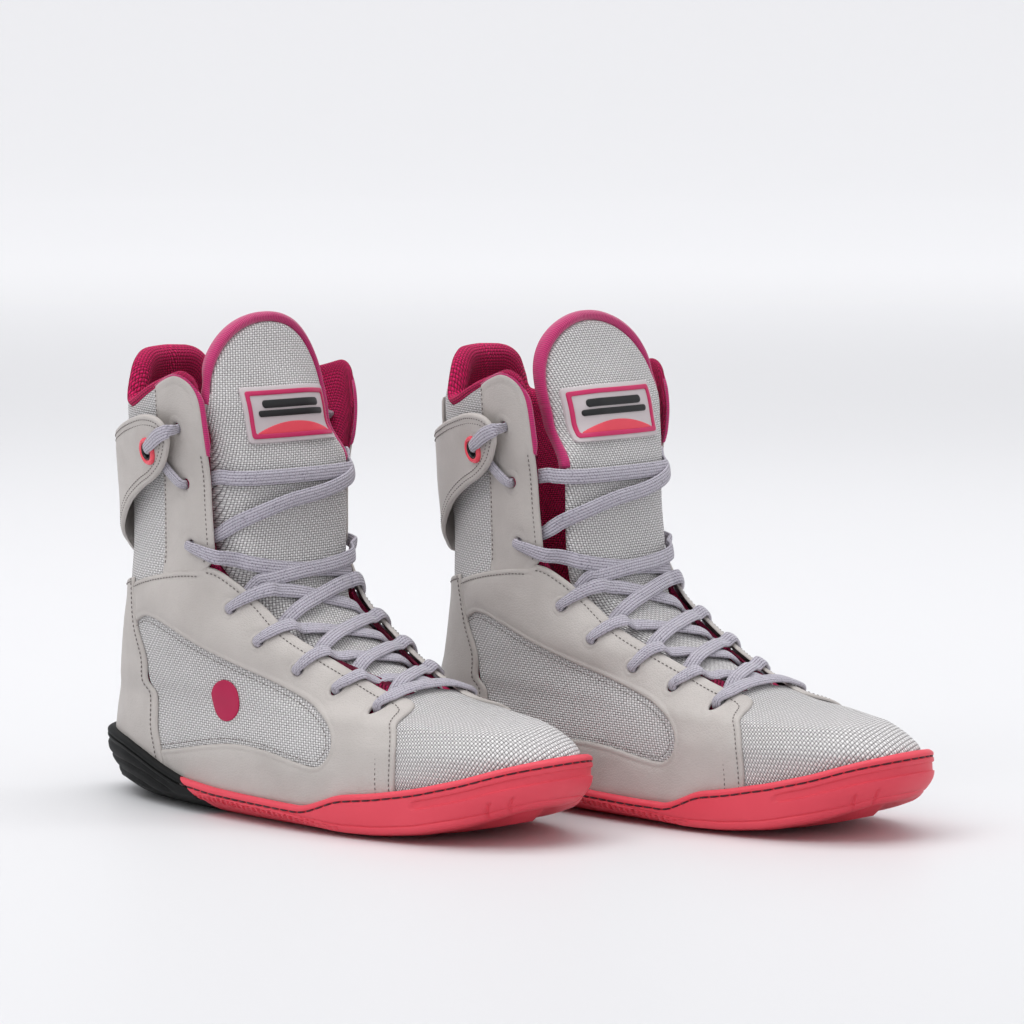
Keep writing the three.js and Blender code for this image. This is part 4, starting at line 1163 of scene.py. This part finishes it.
def collar(boot):
    """The lining: thin inside the foot, padded around the ankle, and rolled over the top edge."""
    columns = 220
    front_z = np.array([8, 50, 56, 57.5, 67, 76, 84, 96, 101, 106, 112, 120, 140, 150, 160, 174, 182, 220], float)
    front_x = np.array([232, 232, 196, 190, 161, 142, 126, 110, 104.5, 99, 96, 95.2, 94.4, 94.4, 96, 96.6, 95, 95],
                       float)
    share = np.linspace(0, 1, columns)
    marks = curve(RIM, 1.0)

    def turns(z):
        limit = np.interp(z, front_z, front_x)
        lateral, medial = turn_at(limit, z, 1), turn_at(limit, z, -1)
        return lateral + (medial - lateral) * share

    nominal = skin_base(turns(np.full(columns, 178.0)), np.full(columns, 178.0))
    at_rim = {side: np.abs(turn_at(marks[:, 0], marks[:, 1], side)) for side in (1, -1)}
    around = turns(np.full(columns, 178.0))
    rim = np.where(around >= 0, np.interp(around, at_rim[1], marks[:, 1]), np.interp(-around, at_rim[-1], marks[:, 1]))
    front = smoothstep(nominal[:, 0], 52, 76)
    pad = 1 - 0.72 * front

    rows = []

    def add(z, offset):
        z = np.broadcast_to(np.asarray(z, float), (columns,))
        turn = turns(z)
        rows.append((skin(turn, z, np.broadcast_to(np.asarray(offset, float), (columns,))),
                     np.stack([turn * 150, z + np.asarray(offset) * 0.0], -1)))

    for z in np.linspace(9, 118, 18):
        add(z, -3.0)
    for r in (0.25, 0.5, 0.75, 0.93):
        add(118 + (rim - 118) * r, -2.9 + 1.1 * front)
    lean = -1.5 + 0.2 * front
    roll = [(-0.6, 0.2), (0.2, 1.2), (1.4, 1.9), (2.6, 1.6), (3.5, 0.4), (4.1, -1.4), (4.2, -3.2), (3.7, -5.0),
            (2.6, -6.6), (1.0, -7.6), (-1.5, -8.2), (-5, -8.6)]
    for rise, out in roll:
        add(rim + rise * (0.35 + 0.65 * pad) * 0.9, lean + (out - 0.4) * pad * 0.92)
    for r, depth in ((0.86, -8.8), (0.72, -8.9), (0.58, -8.6), (0.42, -7.8), (0.24, -6.6), (0.08, -5.4)):
        add(118 + (rim - 118) * r, depth * pad * (1 - front) + (-3.3) * front)
    for z in np.linspace(116, 9, 18):
        add(z, -4.9 + 1.7 * front * smoothstep(z, 100, 112))
    count = columns
    points = np.vstack([r[0] for r in rows])
    reach = np.cumsum([0] + [np.linalg.norm(b[0] - a[0], axis=1).mean() for a, b in zip(rows, rows[1:])])
    uv = np.vstack([np.stack([r[1][:, 0], np.full(count, d)], -1) for r, d in zip(rows, reach)])
    faces = []
    for i in range(len(rows)):
        j = (i + 1) % len(rows)
        faces.extend((i * count + k, i * count + k + 1, j * count + k + 1, j * count + k) for k in range(count - 1))
    faces.append(tuple(i * count for i in range(len(rows))))
    faces.append(tuple(i * count + count - 1 for i in range(len(rows)))[::-1])
    obj = add_piece(boot, "collar_lining", points, faces, LINING, ["collar_lining"], uv, sharp=70)


def sockliner(boot):
    levels = [(0.0, 10.5), (0.92, 10.5), (1.0, 11.2), (1.0, 13.0), (0.95, 13.9), (0.8, 13.8), (0.5, 13.6),
              (0.0, 13.5)]
    turn = np.linspace(-1, 1, 161)[:-1]
    rows = []
    for reach, height in levels:
        base = skin(turn, np.full(len(turn), 13.0), np.full(len(turn), -6.0))
        rise = along(INNER_FLOOR, base[:, 0]) - 7.2
        base[:, 1] *= reach
        base[:, 0] = 130 + (base[:, 0] - 130) * (0.93 + 0.07 * reach)
        base[:, 2] = height + rise
        rows.append(base)
    count = len(turn)
    faces = []
    for i in range(len(rows) - 1):
        faces.extend((i * count + k, i * count + (k + 1) % count, (i + 1) * count + (k + 1) % count,
                      (i + 1) * count + k) for k in range(count))
    points = np.vstack(rows)
    add_piece(boot, "sockliner", points, faces, LINING, ["sockliner"], points[:, :2])


# ---------------------------------------------------------------- laces

OVER, UNDER = 1.4, -4.6
LOW, HIGH = 1.7, 3.5


def is_inside(point):
    back, front = at_height(point[2])[:2]
    if not back < point[0] < front:
        return False
    side = -1 if point[1] < 0 else 1
    turn = turn_at(np.array([point[0]]), np.array([point[2]]), side)
    return abs(point[1]) < abs(skin_base(turn, np.array([point[2]]))[0, 1])


def over_throat(start, end, share, outward):
    """The place on the skin beyond a point between two holes: x, z and side."""
    point = start + (end - start) * share
    if not is_inside(point):
        point = point - 6 * outward
    near, far = 0.0, 60.0
    for _ in range(26):
        middle = (near + far) / 2
        if is_inside(point + outward * middle):
            near = middle
        else:
            far = middle
    point = point + outward * near
    return (point[0], point[2]), -1 if point[1] < 0 else 1


def surface(place, side, offset, on_tongue=False):
    x, z = np.array([place[0]], float), np.array([place[1]], float)
    turn = turn_at(x, z, side)
    level = offset + (tongue_offset(turn, z)[0] if on_tongue else 0.0)
    return skin(turn, z, np.array([level]))[0], skin_normal(turn, z)[0]


def lace_stops(boot):
    """Route of one half of the lace, twice: points, outward directions and widths, ring side last."""

    def on(place, offset, on_tongue=False):
        turn, z = np.array([place[0]]), np.array([place[1]])
        turn = np.where(turn > 1, turn - 2, turn)
        level = offset + (tongue_offset(turn, z)[0] if on_tongue else 0.0)
        return skin(turn, z, np.array([level]))[0], skin_normal(turn, z)[0]

    def around(place, side):
        """x and z of one side as a turn from 0 to 2, lateral side first, and a height."""
        turn = float(turn_at(np.array([place[0]]), np.array([place[1]]), side)[0])
        return np.array([turn if side > 0 else 2 + turn, place[1]])

    def strand(side):
        items = []
        for index in range(6):
            (x0, z0), (x1, z1) = EYELETS[index], EYELETS[index + 1]
            if index == 5:
                z0, z1 = (z0, 159.0) if side == boot.high_side else (148.0, 147.0)
            start, end = surface((x0, z0), side, 0)[0], surface((x1, z1), -side, 0)[0]
            outward = np.array([z1 - z0, 0, -(x1 - x0)], float)
            outward /= np.linalg.norm(outward)
            rise = HIGH if side == boot.high_side else LOW
            ends_under = index + 1 == 6
            height = lambda share: z0 + (z1 - z0) * share
            first = around((96.4, height(0.12)), side) if index == 5 else None
            last = around((96.4, height(0.86)), -side)

            def put(share, offset, width=1.0, on_tongue=False):
                """The shaft is upright and round, so its strands go round it; lower ones cross the throat."""
                if index < 4:
                    place = around(*over_throat(start, end, share, outward))
                elif share > 0.86:
                    place = last + (around((x1, z1), -side) - last) * (share - 0.86) / 0.14
                else:
                    begin = around(*over_throat(start, end, 0.12, outward)) if first is None else first
                    place = begin + (last - begin) * (share - 0.12) / 0.74
                items.append((*on(place, offset, on_tongue), width))

            items.append((*surface(EYELETS[index], side, OVER), 0.6))
            items.append((*surface(EYELETS[index], side, UNDER + 2), 0.6))
            put(0.12, LOW, 0.9, on_tongue=True)
            for share in np.arange(0.18, 0.71, 0.058):
                bulge = smoothstep(share, 0.2, 0.4) * (1 - smoothstep(share, 0.6, 0.8) * ends_under)
                put(share, LOW + (rise - LOW) * bulge, on_tongue=True)
            if ends_under:
                put(0.77, LOW, on_tongue=True)
                put(0.84, LOW, on_tongue=True)
            else:
                put(0.77, -0.8 if side == boot.high_side else -1.6)
                put(0.83, OVER + 0.3)
                put(0.92, OVER, 0.85)
            side = -side
        items.append((*surface(EYELETS[6], side, UNDER + 2), 0.6))
        items.append((*surface(EYELETS[6], side, OVER), 0.6))
        over = STRAP_LIFT + 2.9
        x, z = GROMMET
        for place, offset, width in (((76.5, 146.6), 2.2, 0.75), ((70, 151), 2.0, 0.8), ((63.5, 156), 2.0, 0.7),
                                     ((x + 0.4, z), STRAP_LIFT, 0.55), ((x + 0.2, z + 0.4), over - 1.2, 0.55),
                                     ((x + 2.4, z + 2), over + 0.7, 0.75), ((x + 7, z + 5), over + 0.5, 0.95),
                                     ((x + 12.5, z + 8.2), over + 0.3, 1.0), ((x + 17, z + 10), over - 0.8, 0.95),
                                     ((81.6, 168.8), over - 3.2, 0.8), ((81, 168.4), 0.6, 0.6)):
            items.append((*surface(place, side, offset), width))
        for place, offset in (((80.4, 169), UNDER - 2), ((80, 171), -8.6), ((77.4, 167), -8.8), ((73.5, 157), -7.4),
                              ((70.5, 147), -7.4), ((68.5, 136), -7.4)):
            items.append((*surface(place, side, offset), 0.75))
        return items

    start, end = surface(EYELETS[0], 1, 0)[0], surface(EYELETS[0], -1, 0)[0]
    bar = []
    for share in (0.14, 0.3, 0.5, 0.7, 0.86):
        place = over_throat(start, end, share, np.array([0.3, 0, 0.954]))
        bar.append((*surface(*place, OVER), 1.0))
    return strand(1)[::-1] + bar + strand(-1)


def lace(boot):
    stops = lace_stops(boot)
    points = np.array([s[0] for s in stops])
    normals = np.array([s[1] for s in stops])
    widths = np.array([s[2] for s in stops])
    ahead = points[np.minimum(np.arange(len(points)) + 1, len(points) - 1)] - points[
        np.maximum(np.arange(len(points)) - 1, 0)]
    ahead -= normals * (ahead * normals).sum(1, keepdims=True)
    across = np.cross(normals, ahead)
    across /= np.maximum(np.linalg.norm(across, axis=1, keepdims=True), 1e-9)
    for i in range(1, len(across)):
        if across[i] @ across[i - 1] < 0:
            across[i] = -across[i]
    gaps = np.maximum(np.linalg.norm(np.diff(points, axis=0), axis=1), 0.6) ** 0.5
    knots = np.concatenate([[0], np.cumsum(gaps)])
    samples = 7
    t = np.concatenate([np.linspace(a, b, samples, endpoint=False) for a, b in zip(knots, knots[1:])] + [knots[-1:]])
    slope = np.zeros_like(points)
    slope[1:-1] = (points[2:] - points[:-2]) / (knots[2:] - knots[:-2])[:, None]
    slope[0], slope[-1] = (points[1] - points[0]) / gaps[0], (points[-1] - points[-2]) / gaps[-1]
    i = np.clip(np.searchsorted(knots, t, side="right") - 1, 0, len(points) - 2)
    h = (knots[i + 1] - knots[i])[:, None]
    s = ((t - knots[i])[:, None]) / h
    line = (points[i] * (1 + 2 * s) * (1 - s) ** 2 + points[i + 1] * s * s * (3 - 2 * s)
            + h * (slope[i] * s * (1 - s) ** 2 - slope[i + 1] * s * s * (1 - s)))
    ease = s * s * (3 - 2 * s)
    wide = across[i] * (1 - ease) + across[i + 1] * ease
    width = widths[i] * (1 - ease[:, 0]) + widths[i + 1] * ease[:, 0]
    along = np.gradient(line, axis=0)
    along /= np.maximum(np.linalg.norm(along, axis=1, keepdims=True), 1e-9)
    wide -= along * (wide * along).sum(1, keepdims=True)
    wide /= np.maximum(np.linalg.norm(wide, axis=1, keepdims=True), 1e-9)
    thin = np.cross(along, wide)
    sides = 16
    angle = np.linspace(0, 2 * np.pi, sides, endpoint=False)
    cos, sin = np.cos(angle), np.sin(angle)
    profile_w = np.sign(cos) * np.abs(cos) ** 0.75 * 3.25
    profile_t = np.sign(sin) * np.abs(sin) ** 0.8 * 1.05
    thick = 1 + 0.9 * (1 - width)
    rings = (line[:, None] + wide[:, None] * (profile_w[None, :, None] * width[:, None, None])
             + thin[:, None] * (profile_t[None, :, None] * thick[:, None, None]))
    count = len(line)
    reach = np.concatenate([[0], np.cumsum(np.linalg.norm(np.diff(line, axis=0), axis=1))])
    uv = np.stack(np.broadcast_arrays(reach[:, None], profile_w[None, :] + 0 * reach[:, None]), -1).reshape(-1, 2)
    faces = []
    for k in range(count - 1):
        a, b = k * sides, (k + 1) * sides
        faces.extend((a + q, a + (q + 1) % sides, b + (q + 1) % sides, b + q) for q in range(sides))
    faces.append(tuple(range(sides))[::-1])
    faces.append(tuple((count - 1) * sides + q for q in range(sides)))
    add_piece(boot, "lace", rings.reshape(-1, 3), faces, LACE, ["lace"], uv, sharp=80)
    return reach[-1]


def side_mark(boot):
    chart = SideChart(1)
    disc = circle([104, 51], 9.0, 48)
    points, faces, uv = panel(chart, [disc], -1.25, 0.5, spacing=1.8, edge=0.5, wave=0.0)
    add_piece(boot, "side_mark", points, faces, MOTIF, ["side_mark"], uv)


def cad_materials(boot):
    chosen = {"insole_board": BOARD, "heel_stiffener": STIFFENER, "toe_puff": STIFFENER, "aglet_medial": AGLET,
              "aglet_lateral": AGLET}
    for node, material in chosen.items():
        obj = frame["nodes"][f"{boot.name}_{node}"]
        obj.data.materials.clear()
        obj.data.materials.append(material)


def build(boot):
    sole(boot)
    quarters(boot)
    counter(boot)
    shaft(boot)
    straps(boot)
    vamp(boot)
    tongue(boot)
    collar(boot)
    sockliner(boot)
    lace(boot)
    side_mark(boot)
    cad_materials(boot)


# ---------------------------------------------------------------- camera, floor and light

RIGHT = Boot("right", -1, 1)
LEFT = Boot("left", 1, -1)


def camera():
    """The photograph's viewing angle, aimed from the right boot's heel."""
    yaw, rise = math.radians(43.438), math.radians(5.546)
    aim = np.array([629.357, -415.247, 194.652])
    across = np.array([math.cos(yaw), math.sin(yaw), 0])
    deep = np.array([-math.sin(yaw), math.cos(yaw), 0])
    up = np.array([0, 0, 1.0])
    forward = deep * math.cos(rise) - up * math.sin(rise)
    above = deep * math.sin(rise) + up * math.cos(rise)
    place = (aim - forward * 1630.12 + RIGHT.origin) / 1000
    data = bpy.data.cameras.new("camera")
    data.sensor_width = 36
    data.lens = 36 * 5231.3 / 1024
    data.clip_end = 100
    obj = bpy.data.objects.new("camera", data)
    turned = np.stack([across, above, -forward], 1)
    obj.matrix_world = Matrix.LocRotScale(Vector(place), Matrix(turned.tolist()).to_quaternion(), None)
    bpy.context.scene.collection.objects.link(obj)
    bpy.context.scene.camera = obj


def area_light(name, place, aim, size, power):
    data = bpy.data.lights.new(name, "AREA")
    data.shape = "RECTANGLE"
    data.size, data.size_y = size
    data.energy = power
    obj = bpy.data.objects.new(name, data)
    obj.location = place
    obj.rotation_euler = (Vector(aim) - Vector(place)).to_track_quat("-Z", "Y").to_euler()
    bpy.context.scene.collection.objects.link(obj)


def studio():
    """A wide pale floor that glows a little far behind the boots and curves up there, and large soft lights."""
    s = Shader("pale floor", "#dcdcde", 0.5, Specular_IOR_Level=0.25, Emission_Color=(0.95, 0.95, 0.97, 1))
    s.color(s.mix(s.noise(1.2, 2.0), linear("#dcdcde"), linear("#dadadc")))
    glow = s.add("ShaderNodeMapRange", {0: s.uv()[1], 1: GLOW_START, 2: GLOW_END, 3: 0.0, 4: GLOW},
                 interpolation_type="SMOOTHSTEP").outputs[0]
    s.put(s.main.inputs["Emission Strength"], glow)
    angle = np.linspace(0, np.pi / 2, 24)
    deep = np.concatenate([[-30.0, -1, 0.5], 7 + 3 * np.sin(angle), [10]])
    high = np.concatenate([[0.0, 0, 0], 3 - 3 * np.cos(angle), [16]])
    yaw = math.radians(43.438)
    across, back = np.array([math.cos(yaw), math.sin(yaw)]), np.array([-math.sin(yaw), math.cos(yaw)])
    points, uv = [], []
    for d, h in zip(deep, high):
        for w in (-30.0, 30.0):
            points.append([*(across * w + back * d), h])
            uv.append([w, d])
    faces = [(2 * i, 2 * i + 1, 2 * i + 3, 2 * i + 2) for i in range(len(deep) - 1)]
    make_object("floor", points, faces, s.material, uv, sharp=80, closed=False)

    world = bpy.data.worlds.new("world")
    bpy.context.scene.world = world
    world.use_nodes = True
    world.node_tree.nodes["Background"].inputs[0].default_value = (0.93, 0.935, 0.95, 1)
    world.node_tree.nodes["Background"].inputs[1].default_value = 0.68
    toward = lambda a, d, h: [*(across * a - back * d), h]
    area_light("key", toward(-1.1, 0.9, 1.7), (0, 0, 0.1), (1.3, 1.3), 14)
    area_light("fill", toward(1.5, 1.3, 1.2), (0, 0, 0.1), (1.6, 1.2), 3.4)
    area_light("top", (0, 0, 2.4), (0, 0, 0), (2.4, 2.4), 20)
    area_light("backdrop", toward(0, -0.6, 2.6), [*(back * 3.0), 0.9], (3.5, 1.2), 44)


bpy.context.scene.view_settings.view_transform = "Standard"
camera()
build(RIGHT)
build(LEFT)
studio()
